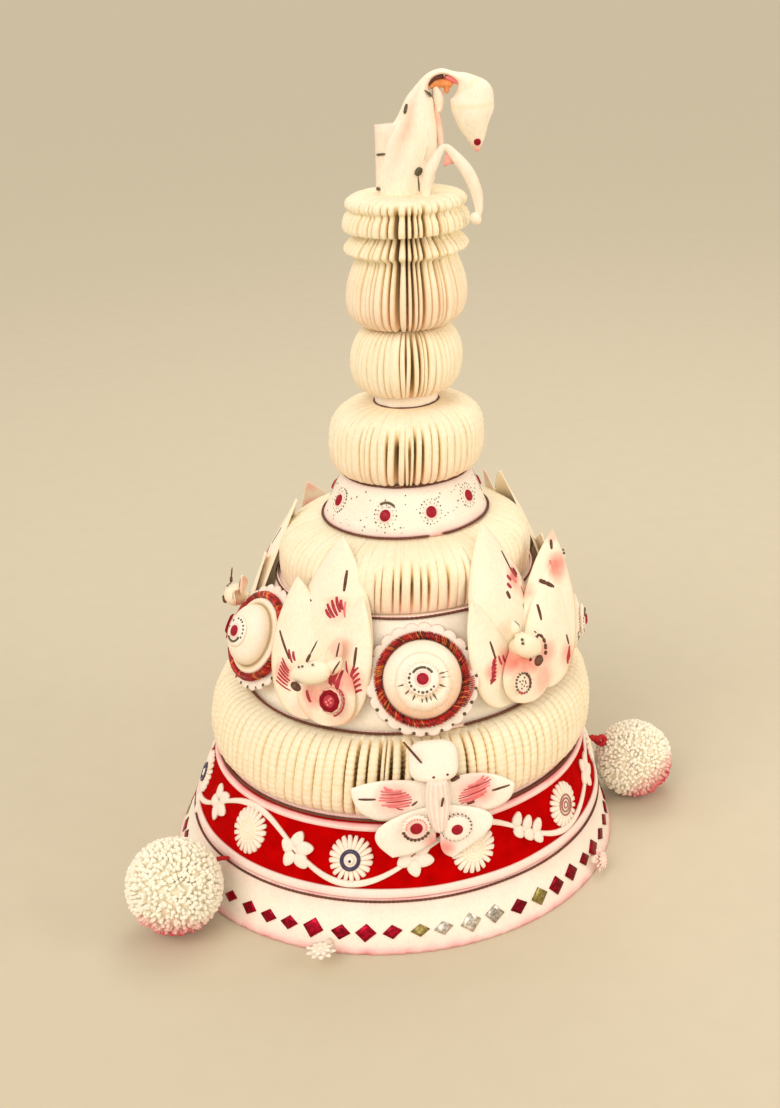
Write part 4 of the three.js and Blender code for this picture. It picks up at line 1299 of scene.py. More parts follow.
for number in range(1, figure_count + 1):
    angle = first_bird + 360 / figure_count * (number - 1)
    looks_left = number in (1, figure_count)
    place = seat(drum_wall, angle, bird_height)
    if looks_left:
        petals, blushes, strokes, stroke_rows = left_looking, left_blushes, left_strokes, left_rows
    else:
        petals, blushes, strokes, stroke_rows = right_looking, right_blushes, right_strokes, right_rows

    def blush(point):
        """How pink a petal is at a point."""
        return max(strength * min(1.0, 1.7 * max(0.0, 1 - hypot(point.x - x, point.y - y) / size))
                   for x, y, size, strength in blushes)

    shapes, overs = [], {}
    for part, shape in {"tail": tail_shape, **petals}.items():
        surface, overs[part] = petal(*shape)
        shapes.append(petal_sheet(surface, blush))
    shapes.append(turned_piece([(4.5, 0.6), (4.5, 8.4 if looks_left else 10.4)], 14, (0, 5, 0)))
    for part, lines in strokes.items():
        shapes += [stroke(overs[part], (x, y), (to_x, to_y), *brush) for x, y, to_x, to_y, *brush in lines]
    for part, *line in stroke_rows:
        shapes += barbs(overs[part], *line)
    make_piece(f"bird_petal_sheets_{number}", shapes, [petal_pith, brush_red, brush_dark_and_shade, brush_pink],
               [f"bird_petals_{number}"], place)

    middle = Vector((-1.4, 17.8, 16.6)) if looks_left else Vector((-3.4, 21.8, 17.6))
    pose = Matrix.Translation(middle) @ spin(197 if looks_left else -38, "Z")
    pose = pose @ spin(-5, "Y")
    body = [moved(egg(19.5, 12.2, 0.3) if looks_left else egg(14.5, 11.6, 0.16), pose)]
    beak = middle + (Vector((-4.2, -6.6, 4.2)) if looks_left else Vector((1.6, -7.4, 3.4)))
    beak_pose = Matrix.Translation(beak) @ spin(-28 if looks_left else 40, "Z")
    body.append(moved(egg(5.4, 3.8, 0.1, 16, 10, 1), beak_pose))
    body.append(flat_dot(beak + Vector((0.2, 0.3, 1.9)), 0.9, 0.25, 5, 10, normal=Vector((0.1, 0.1, 1))))
    if looks_left:
        pin = middle + Vector((-0.2, 5.2, 4.0))
        body.append(stick(pin, pin + Vector((1.8, 4.0, 0.6)), 0.8, 1, 8))
        body.append(stick(pin + Vector((1.6, 3.6, 0.5)), pin + Vector((5.0, 10.6, 1.2)), 0.4, 1, 6))
        for x, y in ((-3.6, 2.4), (-1.8, 3.0), (3.4, 4.6)):
            body.append(flat_dot(middle + Vector((x, y, 4.8)), 0.6, 0.2, 5, normal=Vector((x, y, 6))))
    else:
        arc = ((7.2, 0.2), (9.0, 1.7), (10.8, 1.4), (12.2, -0.6), (12.8, -3.4), (12.2, -6.6), (11.2, -8.8))
        for (x, y), (to_x, to_y) in zip(arc, arc[1:]):
            near, far = Vector((x, y, -1.4)), Vector((to_x, to_y, -1.6))
            body.append(stick(middle + near.lerp(far, 0.08), middle + near.lerp(far, 0.86), 0.75, 1, 8, 0.8))
        for x, y in ((-5.6, 5.2), (-5.8, 3.4), (3.4, 5.6)):
            body.append(flat_dot(middle + Vector((x, y, 3.4)), 0.75, 0.2, 5, normal=Vector((x, y, 5))))
        body.append(flat_dot(middle + Vector((-1.4, -6.0, 1.4)), 0.9, 0.3, 1, normal=Vector((0, -0.4, 1))))
    for x, y, tilt, long, wide, out in ((5.4, 23.0, 24, 13.5, 7.6, 12.4), (5.0, 19.0, 46, 11.5, 7.0, 13.6)):
        if looks_left:
            curl, over_curl = petal((x, y), tilt, long, wide, out, 2.2, 2.6, 2.4)
        else:
            curl, over_curl = petal((-x + 2.6, y + 4.0), -tilt, 0.66 * long, 0.8 * wide, out, 2.2, 2.6, 1.6)
        body.append({**petal_sheet(curl, blush, 16, 9), "look": 2})
        # The dark stroke along each curl is its painted shadow line.
        body.append(stroke(over_curl, curl(0.82, 0.2).xy, curl(0.5, 0.86).xy, 0.6, 1))
    rosette = Vector((8.0, 6.2, 13.6)) if looks_left else Vector((-8.0, 5.4, 14.2))
    rose = []
    if looks_left:
        frill = circle_rows([(4.6, -1.6), (6.0, -1.2), (5.0, -0.4)], 60, teeth(0.35, 15, (1,)))
        rose.append(skin(frill, (0.1, 0.4), look=2))
        wreath = []
        for turn in full_turn(40):
            thick = 1.15 + 0.14 * sin(turn * 9)
            wreath.append([spoke(3.9 + thick * cos(roll), turn, 1.05 * sin(roll))
                           for roll in full_turn(8)])
        rose.append(skin(wreath, ring=True, look=7))
        rose.append(skin(circle_rows([(4.2, -1.0), (3.4, 0.2), (1.6, 0.9)], 20), look=3))
        for x, y in ((0.3, 0.5), (-1.0, -0.5), (1.3, -0.4), (-0.2, -1.6), (1.0, 1.4)):
            rose.append(flat_dot((x, y, 0.75), 0.6, 0.25, 6))
        for i in range(8):
            turn = radians(-62 + 16 * i)
            spot, along = spoke(6.9, turn, -1.2), Vector((-0.85 * sin(turn), 0.85 * cos(turn), 0))
            rose.append(stick(spot - along, spot + along, 0.55, 3, 6, 0.8))
    else:
        frill = circle_rows([(4.4, -1.4), (5.2, -0.6), (4.2, 0.2), (2.2, 0.5)], 60,
                            teeth(0.3, 13, (0, 1, 2)))
        rose.append(skin(frill, (0.05, 0.15), look=2))
        for i, turn in enumerate(full_turn(18)):
            on_right = turn > 5.3 or turn < 0.9
            look = 1 if on_right else 3 if 10 < i < 14 else 5
            rose.append(flat_dot(spoke(4.5, turn, 0.1), 0.95 if on_right else 0.6, 0.5, look))
        for i, turn in enumerate(full_turn(9)):
            rose.append(flat_dot(spoke(2.6 if i % 2 else 1.3, turn + 0.4, 0.4), 0.5, 0.3, 5, 6))
    body += [moved(shape, Matrix.Translation(rosette)) for shape in rose]
    body.append(turned_piece([(3.0, 0), (2.8, 4.2), (3.6, 5.2)], 12, rosette - Vector((0, 0, 6.2))))
    body.append(turned_piece([(3.6, 0), (3.6, 8.0)], 12, (middle.x, middle.y - 1, middle.z - 8.6)))
    make_piece(f"bird_egg_{number}", body,
               [cream_pith, brush_dark_and_shade, petal_pith, brush_red, pink_pith, shadow_and_punched, brush_pink,
                brush_crimson], [f"bird_body_{number}"], place)

# ---- Middle ring and dotted collar ----
# The middle pleated ring lies on the drum's roof. On it stands a cone of white pith lace, punched with
# tiny holes round nine red beads, with brown cords at its foot and top.
low, high, widest = box_of("pleated_ring_2")
edge = bulge((58.4, ROOF.height + 0.8), (widest - 0.3, 156.5), (34, high.z), 18, 36)
front_gaps = ((-12.5, 0.8), (-7.3, 0.9), (-3.9, 1.2), (1.1, 1.5), (5.1, 1.1), (8.4, 1.1), (12.5, 0.8),
              (17.4, 1.4), (25.7, 0.9))
pleats("pleats_2", "pleated_ring_2", edge, (40, 158), 88, (0.1, 0.5), 7.0, 2, (2.0, 18.0), front_gaps,
       30, 0.12, scallop=0.08, ragged=0.15, smooth=(171, 12))

COLLAR_LOW, COLLAR_TOP = seam("collar", False), seam("collar", True)
collar_wall = (COLLAR_LOW, COLLAR_TOP)
collar_steps = 200
rows, marks = [], []
for step in range(collar_steps):
    angle = 360 * step / collar_steps
    dent = 0.3 * noise.noise(around(angle, 2, 0) * 0.9 + Vector((0, 0, 31)))
    section = [
        (COLLAR_LOW.height, 0.0, 0.6), (COLLAR_LOW.height + 2, dent, 0.25), (179, dent, 0), (185, dent, 0),
        (191, dent, 0), (COLLAR_TOP.height, 0.0, 0.3), (COLLAR_TOP.height, -2.0, 0), (185, -2.0, 0),
        (COLLAR_LOW.height, -2.0, 0),
    ]
    rows.append([on_wall(collar_wall, angle, height, proud) for height, proud, _ in section])
    marks.append([(0.0, pink) for _, _, pink in section])
collar_shapes = [skin(rows, marks, ring=True)]


def dot_beside(place, reach, turn, *dot):
    """A dot on the collar at a distance and a turn from an (angle, height) place."""
    up = place[1] + reach * sin(turn)
    across = degrees_for(collar_wall, up, reach * cos(turn))
    return dot_on_wall(collar_wall, place[0] + across, up, *dot)


front_beads = [(-66.0, 185.5), (-17.5, 184.0), (17.4, 184.4), (55.8, 186.0)]
back_beads = [(55.8 + (294 - 55.8) / 6 * i, 185.0) for i in range(1, 6)]
for bead in front_beads + back_beads:
    collar_shapes.append(dot_on_wall(collar_wall, *bead, 3.4, 0.1, 0.35, 2, 18))
    collar_shapes.append(dot_on_wall(collar_wall, *bead, 2.5, 0.4, 1.1, 3, 16))
    for count, reach, size in ((18, 5.2, 0.33), (12, 3.9, 0.22)):
        for i in range(count):
            turn = 2 * pi * (i + uniform(-0.15, 0.15)) / count
            radius = size * uniform(0.7, 1.3)
            collar_shapes.append(dot_beside(bead, reach, turn, radius, 0.12, 0.12, 1, 6))
# (bead, first and last turn in degrees, reach, size) of the larger holes beside two of the beads.
hole_arcs = ((front_beads[0], -65, 65, 5.4, 0.42), (front_beads[1], 50, 120, 5.2, 0.62))
for bead, first, last, reach, size in hole_arcs:
    for i in range(9):
        turn = radians(first + (last - first) * i / 8)
        collar_shapes.append(dot_beside(bead, reach, turn, size, 0.15, 0.2, 1, 8))
scattered_holes = 150
for _ in range(scattered_holes):
    angle = uniform(-180, 180)
    height = uniform(COLLAR_LOW.height + 2.5, COLLAR_TOP.height - 2.5)
    collar_shapes.append(dot_on_wall(collar_wall, angle, height, uniform(0.15, 0.4), 0.2, 0.1, 1, 6))
make_piece("collar_lace", collar_shapes, [white_pith, shadow_and_punched, pink_pith, red_bead],
           ["collar"])
seam_cord("collar_lower_cord", collar_wall, COLLAR_LOW.height + 0.6, 0.62, 7, [(19.0, 4.0)])
seam_cord("collar_upper_cord", collar_wall, COLLAR_TOP.height - 0.1, 0.55, 8)

# ---- Small rings, neck and urn ----
# The slim top of the stack: a pleated ring, a plain neck with a cord, a smaller ring, and an urn whose
# leaves are cut with two frilled tongues under a puffed cap.
low, high, widest = box_of("pleated_ring_3")
edge = bulge((27.5, low.z), (widest - 0.4, 211), (16, 228.2), 16, 28, 2.6)
front_gaps = ((-38.4, 0.7), (-29.7, 0.8), (-17.1, 1.1), (-9.7, 2.4), (-3.0, 0.7), (3.9, 2.0), (10.3, 1.5),
              (17.1, 0.7), (23.3, 1.3), (49.0, 0.5))
pleats("pleats_3", "pleated_ring_3", edge, (15, 211), 58, (0.2, 0.7), 9.0, 3, (2.0, 30.0), front_gaps,
       10, 0.2, scallop=0.14, ragged=0.3, smooth=(226, 9))
NECK = seam("neck", False)
neck_top = box_of("neck")[1].z
neck_profile = [(NECK.radius - 0.4, NECK.height), (NECK.radius, NECK.height + 0.6),
                (NECK.radius, neck_top - 0.6), (NECK.radius - 0.5, neck_top)]
rows = [[around(math.degrees(math.atan2(p.x, -p.y)), p.xy.length, p.z) for p in row]
        for row in circle_rows(neck_profile, 64)]
make_piece("neck_core", [skin(rows)], [white_pith], ["neck"])
neck_wall = (NECK, Seam(NECK.radius, neck_top, lean(neck_top)))
seam_cord("neck_cord", neck_wall, NECK.height + 4.0, 0.45, 9)
low, high, widest = box_of("pleated_ring_4")
edge = bulge((15.6, low.z), (widest - 0.4, 247.5), (15, high.z), 15, 18, 2.1)
front_gaps = ((-9.0, 0.5), (-3.0, 0.5), (3.8, 2.0), (11.9, 1.4), (21.8, 0.8))
pleats("pleats_4", "pleated_ring_4", edge, (7, 246), 50, (0.15, 0.6), 9.0, 4, (5.0, 20.0), front_gaps,
       4, 0.15, scallop=0.12, ragged=0.25)


def smooth_line(points, steps):
    """A smooth curve through points, with a few steps between each two."""
    line = []
    for i in range(len(points) - 1):
        before, start = points[max(i - 1, 0)], points[i]
        end, after = points[i + 1], points[min(i + 2, len(points) - 1)]
        for j in range(steps):
            t = j / steps
            line.append(tuple(
                0.5 * (2 * b + (c - a) * t + (2 * a - 5 * b + 4 * c - d) * t * t
                       + (3 * b - a - 3 * c + d) * t ** 3)
                for a, b, c, d in zip(before, start, end, after)
            ))
    return line + [tuple(points[-1])]


# (radius, height) along a leaf of the urn: foot, bulb, lower tongue, upper tongue and cap.
urn_leaf = [
    (14, 264.4), (20.5, 265.2), (25.0, 268.4), (27.0, 273), (27.4, 277.6), (26.8, 283), (25.2, 288.6),
    (23.2, 293.4), (22.6, 295.6), (24.6, 297.0), (27.4, 298.2), (27.8, 300.0), (25.4, 303.0),
    (22.6, 305.6), (22.2, 307.0),
    (24.8, 307.4), (27.8, 307.8), (28.4, 310.2), (27.4, 313.6), (25.6, 315.6), (25.6, 316.8), (26.8, 317.8),
    (27.0, 319.4), (25.6, 321.2), (22.6, 322.4), (18, 322.9), (12, 323.1), (4, 323.1),
]
front_gaps = ((-52, 0.5), (-44, 0.6), (-35, 0.6), (-26.5, 0.9), (-19.5, 1.1), (-11.2, 2.6), (-1.2, 1.3),
              (4.6, 1.5), (14.8, 3.0), (31.0, 1.5), (40.0, 0.8), (49.0, 0.6), (57.0, 0.9))
pleats("urn_pleats", "urn", smooth_line(urn_leaf, 4), (9, 290, 0.85), 48, (0.25, 0.7), 10.0, 5, (1.0, 40.0),
       front_gaps, 2, 0.45, scallop=0.1, ragged=0.45, smooth=(322, 4), unequal=0.25)

# ---- Finial bird and strip ----
# A bird of soft pith sits on the urn: a folded tail, an upright body and a neck that arches over to a
# drooping head like a drop. In front of it a thin strip is bent over into a fork with a round bud.
PERCH = Vector((lean(CAP.height), 0, CAP.height))
finial_pith = pith_material("finial pith", rgb(255, 247, 230), rgb(253, 230, 190), rgb(132, 92, 70),
                            rgb(246, 120, 110), fineness=0.8, bump=0.25)
# (across, up, half width along the bend, half depth) from the foot over the arch to the head's tip.
finial_line = [
    (-0.8, -3.2, 10.4, 8.6), (0.2, 8.0, 12.6, 10.0), (2.2, 18.0, 12.2, 10.0), (6.2, 30.0, 9.3, 8.5),
    (8.1, 40.0, 6.3, 6.0), (9.8, 46.2, 2.7, 4.6), (13.4, 50.3, 1.5, 4.0), (18.2, 51.7, 1.2, 3.8),
    (23.4, 50.0, 1.4, 4.0), (27.4, 47.4, 3.8, 4.8), (30.2, 42.6, 8.8, 6.4), (30.7, 37.0, 9.3, 7.4),
    (30.9, 31.0, 7.5, 6.4), (31.8, 25.0, 4.8, 4.2), (32.2, 20.2, 2.3, 2.0), (32.4, 17.4, 0.6, 0.6),
]


def across_at(line, i):
    """The direction across a line of (x, z) points at one of them, in the plane that faces the front."""
    before, after = line[max(0, i - 1)], line[min(len(line) - 1, i + 1)]
    along = Vector((after[0] - before[0], 0, after[1] - before[1])).normalized()
    return Vector((-along.z, 0, along.x))


def limb(stations, mark, wrinkle):
    """A round body along (x, z, wide, deep) stations in the plane that faces the front."""
    rows, marks = [], []
    for i, (x, z, wide, deep) in enumerate(stations):
        across = across_at(stations, i)
        row, shades = [], []
        for turn in full_turn(28):
            rough = 1 + wrinkle * uneven_at(cos(turn) * 2.2, sin(turn) * 2.2, i * 0.16)
            offset = across * cos(turn) * wide + Vector((0, -1, 0)) * sin(turn) * deep
            row.append(PERCH + Vector((x, 0, z)) + offset * rough)
            shades.append(mark(i / (len(stations) - 1), turn))
        rows.append(row)
        marks.append(shades)
    return skin(rows, marks)


def finial_mark(share, turn):
    """Pink inside the arch and at the head's root, with shade painted inside the arch, and a soft painted
    shadow of folds down the front of the body.
    """
    inside = max(0.0, -cos(turn))
    arch = 0.5 * max(0.0, 1 - abs(share - 0.4) / 0.12)
    bands = max(0.0, sin((share - 0.6) * 60)) ** 2 * (1 if 0.62 < share < 0.82 else 0)
    fold_shadow = max(0.0, cos(turn * 2 - 2.2)) ** 5 * max(0.0, 1 - abs(share - 0.2) / 0.16)
    tip = max(0.0, (share - 0.9) / 0.1)
    painted_shade = 0.8 * arch * inside + 0.35 * fold_shadow + 0.3 * bands
    return min(0.75, painted_shade), min(1.0, 1.2 * arch * inside + 0.3 * fold_shadow + tip)


finial = [limb(smooth_line(finial_line, 6), finial_mark, 0.08)]
tail_rows = []
for step in range(12):
    z = -2.6 + 33.4 * step / 11
    left_edge = -12.8 + 0.9 * step / 11 + (1.8 if step == 0 else 0.0)
    middle, half_wide = (left_edge - 1.5) / 2, (-1.5 - left_edge) / 2
    row = []
    for i, turn in enumerate(full_turn(20)):
        square_x = math.copysign(abs(cos(turn)) ** 0.4, cos(turn))
        square_y = math.copysign(abs(sin(turn)) ** 0.5, sin(turn))
        sag = 0.5 * uneven_at(i * 0.7, step * 0.6, 5)
        row.append(PERCH + Vector((middle + half_wide * square_x, 5.2 * square_y + sag, z + 0.5 * sag)))
    tail_rows.append(row)
finial.append(skin(tail_rows, (0.1, 0.12)))


def finial_front(x, z):
    """A point on the front of the finial's body or head."""
    deepest = 2.0
    for middle_x, middle_z, wide, deep in smooth_line(finial_line, 6):
        reach = hypot(x - middle_x, z - middle_z) / wide
        if reach < 1:
            deepest = max(deepest, deep * sqrt(1 - reach * reach))
    return PERCH + Vector((x, -deepest, z))


def finial_stroke(points, radius, look):
    """A thin raised line along (across, up) points over the finial's front."""
    path = [finial_front(x, z) for x, z in smooth_line(points, 4)]
    rows = []
    for i, here in enumerate(path):
        along = (path[min(i + 1, len(path) - 1)] - path[max(i - 1, 0)]).normalized()
        side = along.cross(Vector((0, -1, 0))).normalized()
        thin = radius * (0.35 + 0.65 * sin(pi * (i + 0.6) / (len(path) + 0.2)))
        rows.append([here + (side * cos(turn) + Vector((0, -1, 0)) * sin(turn)) * thin
                     for turn in (0, pi / 3, 2 * pi / 3, pi, 4.7)])
    return skin(rows, look=look)


def lining(points, half_wide, half_deep, look, dye):
    """A soft strip along (across, up) points in the plane of the arch."""
    path = smooth_line(points, 4)
    rows = []
    for i, (x, z) in enumerate(path):
        half = half_wide * (0.4 + 0.6 * sin(pi * (i + 0.5) / len(path)))
        rows.append([PERCH + Vector((x, 0, z)) + across_at(path, i) * half * cos(turn)
                     + Vector((0, half_deep * sin(turn), 0))
                     for turn in (0, 0.8, 1.57, 2.3, 3.14, 3.9, 4.7, 5.4)])
    return skin(rows, (0.0, dye), look=look)


orange_dye = brushed("brushed orange dye", rgb(224, 104, 44), rgb(252, 186, 120))
linings = (
    (((12.2, 46.6), (14.2, 49.0), (18.8, 50.0)), 1.2, 3.4, 2, 0.0),
    (((19.4, 49.4), (21.8, 48.6), (24.4, 46.6)), 1.3, 3.2, 3, 0.0),
    (((12.4, 45.6), (16.0, 47.2), (20.4, 46.8), (22.2, 45.6)), 2.2, 2.8, 5, 0.0),
    (((19.2, 47.0), (20.0, 44.8), (19.7, 42.6)), 1.3, 2.2, 5, 0.0),
    (((10.2, 45.0), (11.8, 43.4), (13.2, 42.0)), 0.7, 5.4, 4, 0.0),
    (((14.8, 45.6), (15.9, 42.4), (16.4, 39.0), (16.0, 35.0)), 2.5, 2.6, 0, 0.05),
    (((15.0, 38.4), (15.8, 31.0), (16.4, 24.0), (16.7, 19.6)), 1.6, 2.2, 0, 0.35),
)
finial += [lining(*line) for line in linings]
# The first two lines, in dark olive, are painted shadow: a patch low on the body's front and a thin line
# below it.
front_strokes = (
    (((6.9, 13.4), (5.9, 11.8), (4.8, 10.2)), 1.7, 4),
    (((5.6, 9.8), (5.8, 6.0), (5.9, 3.0)), 0.35, 4),
    (((2.4, 39.6), (1.2, 35.8)), 0.75, 4),
    (((10.0, 22.6), (8.6, 18.0), (8.2, 14.8)), 0.5, 0),
)
finial += [finial_stroke(*line) for line in front_strokes]
tail_front = -5.3
for x, z, to_x, to_z, thick in ((-11.8, 19.2, -7.8, 19.3, 0.6), (-12.6, 5.0, -11.0, 4.2, 0.8)):
    start, end = PERCH + Vector((x, tail_front, z)), PERCH + Vector((to_x, tail_front, to_z))
    finial.append(stick(start, end, thick, 4, 6))
finial.append(flat_dot(finial_front(32.2, 21.8), 1.55, 0.6, 6, 14, normal=Vector((0, -1, 0))))
make_piece("finial_sheet", finial,
           [finial_pith, brush_red, brush_dark_and_shade, brush_pink, shadow_and_punched, orange_dye, brush_crimson],
           ["finial_bird"])

strip_line = [
    (8.4, -3.0, 1.7), (9.0, 7.0, 2.1), (12.0, 14.8, 2.3), (17.2, 22.0, 1.3), (22.0, 17.6, 2.2),
    (27.2, 10.4, 2.7), (30.4, 2.0, 2.5), (31.2, -5.0, 1.7), (30.4, -8.6, 1.2),
]
strip_rows = []
strip_path = smooth_line(strip_line, 6)
for i, (x, z, half_wide) in enumerate(strip_path):
    across = across_at(strip_path, i) * half_wide
    strip_rows.append([PERCH + Vector((x, -13.0, z)) + across * u + Vector((0, 1, 0)) * v
                       for u, v in ((-1, -0.5), (0, -1.1), (1, -0.5), (1, 0.5), (0, 0.9), (-1, 0.5))])
web = []
for i in range(6):
    z = 19.4 - 1.0 * i
    half_wide = 0.3 + 0.42 * i
    web.append([PERCH + Vector((17.8 + 0.25 * i + dx * half_wide, -12.6 + dy, z + 0.7 * dx * (i % 2)))
                for dx, dy in ((-1, -0.25), (1, -0.25), (1, 0.25), (-1, 0.25))])
bud = Matrix.Translation(PERCH + Vector((29.8, -13.0, -9.2))) @ Matrix.Rotation(1.2, 4, "Y")
peg = Matrix.Translation(PERCH + Vector((8.6, -13.6, 1.6))) @ spin(-90, "X")
strip = [skin(strip_rows, (0.0, 0.06)), skin(web, (0.1, 0.8)), moved(egg(5.6, 5.0, 0.1, 16, 10), bud),
         moved(skin(circle_rows([(1.6, 0), (1.4, 9.0)], 10)), peg)]
make_piece("finial_strip_sheet", strip, [finial_pith], ["finial_strip"])

# ---- Butterfly ----
# A butterfly of pith sheet stands on the front of the widest ring, with a round disc for its head, a
# pleated breast, painted feather marks, two rosettes and one dark antenna.
butterfly_angle = 7.7
turn = radians(butterfly_angle)
butterfly_seat = Matrix.Translation(around(butterfly_angle, 94.9, 68)) @ Matrix((
    (cos(turn), 0, sin(turn), 0),
    (sin(turn), 0, -cos(turn), 0),
    (0, 1, 0, 0),
    (0, 0, 0, 1),
))


def wing(root_high, root_low, tip, high_pull, low_pull, bow, back, proud=0.0):
    """A pointed wing from its two root corners to its tip, as a function from (across, along)."""
    def edge_point(share, start, pull):
        first = Vector(start).lerp(Vector(pull), share)
        return first.lerp(Vector(pull).lerp(Vector(tip), share), share)

    def surface(across, along, lift):
        high, low = edge_point(along, root_high, high_pull), edge_point(along, root_low, low_pull)
        flat = low.lerp(high, (across + 1) / 2)
        out = proud + bow * sin(pi * min(1.0, along * 0.9)) * (1 - 0.6 * across * across)
        out += back * along ** 1.5
        out += 0.35 * uneven_at(flat.x * 0.12, flat.y * 0.12, tip[1])
        return Vector((flat.x, flat.y, out + lift))

    return surface


def wing_sheet(surface, middle, size):
    """The sheet of a wing, pink round a middle point, with shade painted along its edges."""
    def shade_at(side, across, along, point):
        near = 1 - (point.xy - Vector(middle)).length / size
        return 0.2 * abs(across) ** 8, max(0.0, min(0.8, near))

    return thin_sheet(surface, [min(0.985, i / 26) for i in range(27)], 15, 1.0, 0.7, shade_at)


def wing_front(surface):
    """Lifts an (x, y) place onto a wing's front, as brush strokes need it."""
    samples = [surface(j / 6 - 1, i / 24, 0.5) for i in range(25) for j in range(13)]

    def over(x, y, lift):
        def distance(point):
            return (point.x - x) ** 2 + (point.y - y) ** 2

        return Vector((x, y, min(samples, key=distance).z + lift - 0.3))

    return over


upper_left = wing((-1, 10.5), (-1, -4), (-37.6, 12.6), (-20, 19.0), (-37, -12), 1.6, -1.6)
upper_right = wing((1, 10.5), (1, -4), (36.6, 4.8), (22, 18.5), (36, -12.5), 1.6, -1.4)
lower_left = wing((-1, 1), (-1, -17.6), (-21.2, -22.8), (-43, -3.5), (-9, -23.6), 1.2, 0.6, 2.4)
lower_right = wing((1, 1), (1, -16.6), (5.6, -26.8), (47.5, -6), (0, -24.6), 1.2, 0.6, 2.4)
over_left, over_right = wing_front(upper_left), wing_front(upper_right)
upper = [wing_sheet(upper_left, (-19, 6.6), 10.5), wing_sheet(upper_right, (18.4, 5.4), 10.5)]
for over, middle, side, lean_up in ((over_left, (-19.0, 6.6), -1, 0.12), (over_right, (18.4, 5.2), 1, -0.1)):
    for i in range(9):
        share = (i - 4) / 4
        half_long = 7.6 * sqrt(1.06 - share * share)
        y = middle[1] + 5.4 * share
        start = (middle[0] + side * (-half_long + 2.2 * share), y - 1.3 + lean_up * half_long)
        end = (middle[0] + side * (half_long * uniform(0.5, 1.0) + 2.2 * share),
               y + 1.0 - lean_up * half_long)
        width, look = (uniform(0.8, 1.2), 3) if i % 3 else (0.55, 1)
        upper.append(stroke(over, start, end, width, look, 0.3 * side))
upper.append(stroke(over_left, (-34.6, 8.0), (-27.0, 7.4), 1.0, 2))
upper.append(stroke(over_right, (25.6, 4.2), (34.0, 5.0), 1.0, 2))
upper.append(stroke(over_left, (-11.0, 1.6), (-8.4, 3.4), 0.9, 2))
upper.append(stroke(over_right, (14.0, -1.2), (17.6, -0.6), 1.3, 2))
butterfly_white = pith_material("butterfly pith", rgb(255, 248, 236), rgb(255, 238, 212), rgb(150, 112, 80),
                                rgb(250, 128, 120))
make_piece("butterfly_upper_sheets", upper, [butterfly_white, brush_red, brush_dark_and_shade, brush_pink],
           ["butterfly_upper_wings"], butterfly_seat)

lower = [wing_sheet(lower_left, (-2, -17.6), 6), wing_sheet(lower_right, (3, -21), 6)]
for x, y, centre, on_left in ((-10.2, -7.4, 3.0, True), (8.2, -10.8, 2.8, False)):
    at = Vector((x, y, 5.6))
    lower.append(turned_piece([(3.2, -4.8), (3.2, 0.2)], 14, at))
    inner_dye = 0.3 if on_left else 0.0
    frill = circle_rows([(5.9, -0.6), (6.5, 0.0), (5.8, 0.5), (4.2, 0.6), (2.6, 0.8)], 96,
                        teeth(0.35, 19, (0, 1, 2)))
    frill_shades = [(0.15, 0.1), (0.05, 0.08), (0.0, 0.05), (0.0, inner_dye), (0.0, inner_dye)]
    lower.append(moved(skin(frill, frill_shades), Matrix.Translation(at)))
    lower.append(flat_dot(at + Vector((0, 0, 0.6)), centre, 0.9, 4, 18))
    for turn in full_turn(22):
        spot = at + (spoke(4.6, turn, 0.65) if on_left else spoke(6.9, turn, -1.2))
        # On the left rosette, larger dark dots pushed out on the lower side make a painted shadow arc.
        shadow_arc = on_left and -2.9 < turn - 2 * pi < -0.4
        if shadow_arc:
            spot += Vector((spot.x - x, spot.y - y, 0)) * 0.32
        lower.append(flat_dot(spot, 0.9 if shadow_arc else 0.42, 0.3, 2 if shadow_arc or not on_left else 3, 6))
make_piece("butterfly_lower_sheets", lower, [butterfly_white, brush_red, brush_dark_and_shade, brush_pink, red_bead],
           ["butterfly_lower_wings"], butterfly_seat)

breast_rows, marks = [], []
for i in range(23):
    share = i / 22
    y = 14.6 - 25.0 * share
    half = 5.6 * sin(pi * (0.24 + 0.68 * share)) ** 0.6
    row, mark = [], []
    for turn in full_turn(48):
        groove = abs(sin(turn * 6)) ** 0.6
        full = 0.86 + 0.14 * groove
        row.append(Vector((0.3 + half * full * cos(turn), y, 4.6 + 3.4 * sin(turn) * full)))
        # The grooves are painted darker and pinker as shade.
        mark.append((0.25 * (1 - groove), 0.08 + 0.2 * (1 - groove)))
    breast_rows.append(row)
    marks.append(mark)


def breast_front(x, y, lift):
    """A place on the front of the breast, as a brush stroke needs it."""
    return Vector((x, y, 7.9 + lift))


breast = [skin(breast_rows, marks), stroke(breast_front, (2.2, 7.8), (1.2, 3.4), 1.0, 1)]
make_piece("butterfly_breast", breast, [butterfly_white, brush_dark_and_shade], ["butterfly_body"],
           butterfly_seat)

head_rows = []
for radius, z in ((7.2, -2.3), (9.4, -1.4), (9.9, 0.2), (9.5, 1.6), (7.6, 2.6), (4.0, 3.1)):
    row = []
    for turn in full_turn(48):
        square = (abs(cos(turn)) ** 3.4 + abs(sin(turn)) ** 3.4) ** (-1 / 3.4)
        row.append(spoke(radius * square, turn, z))
    head_rows.append(row)
head_place = Matrix.Translation((0.0, 22.0, -0.6)) @ spin(-24, "X")
head_place = head_place @ spin(-3, "Z") @ Matrix.Diagonal((1.12, 0.94, 1, 1))
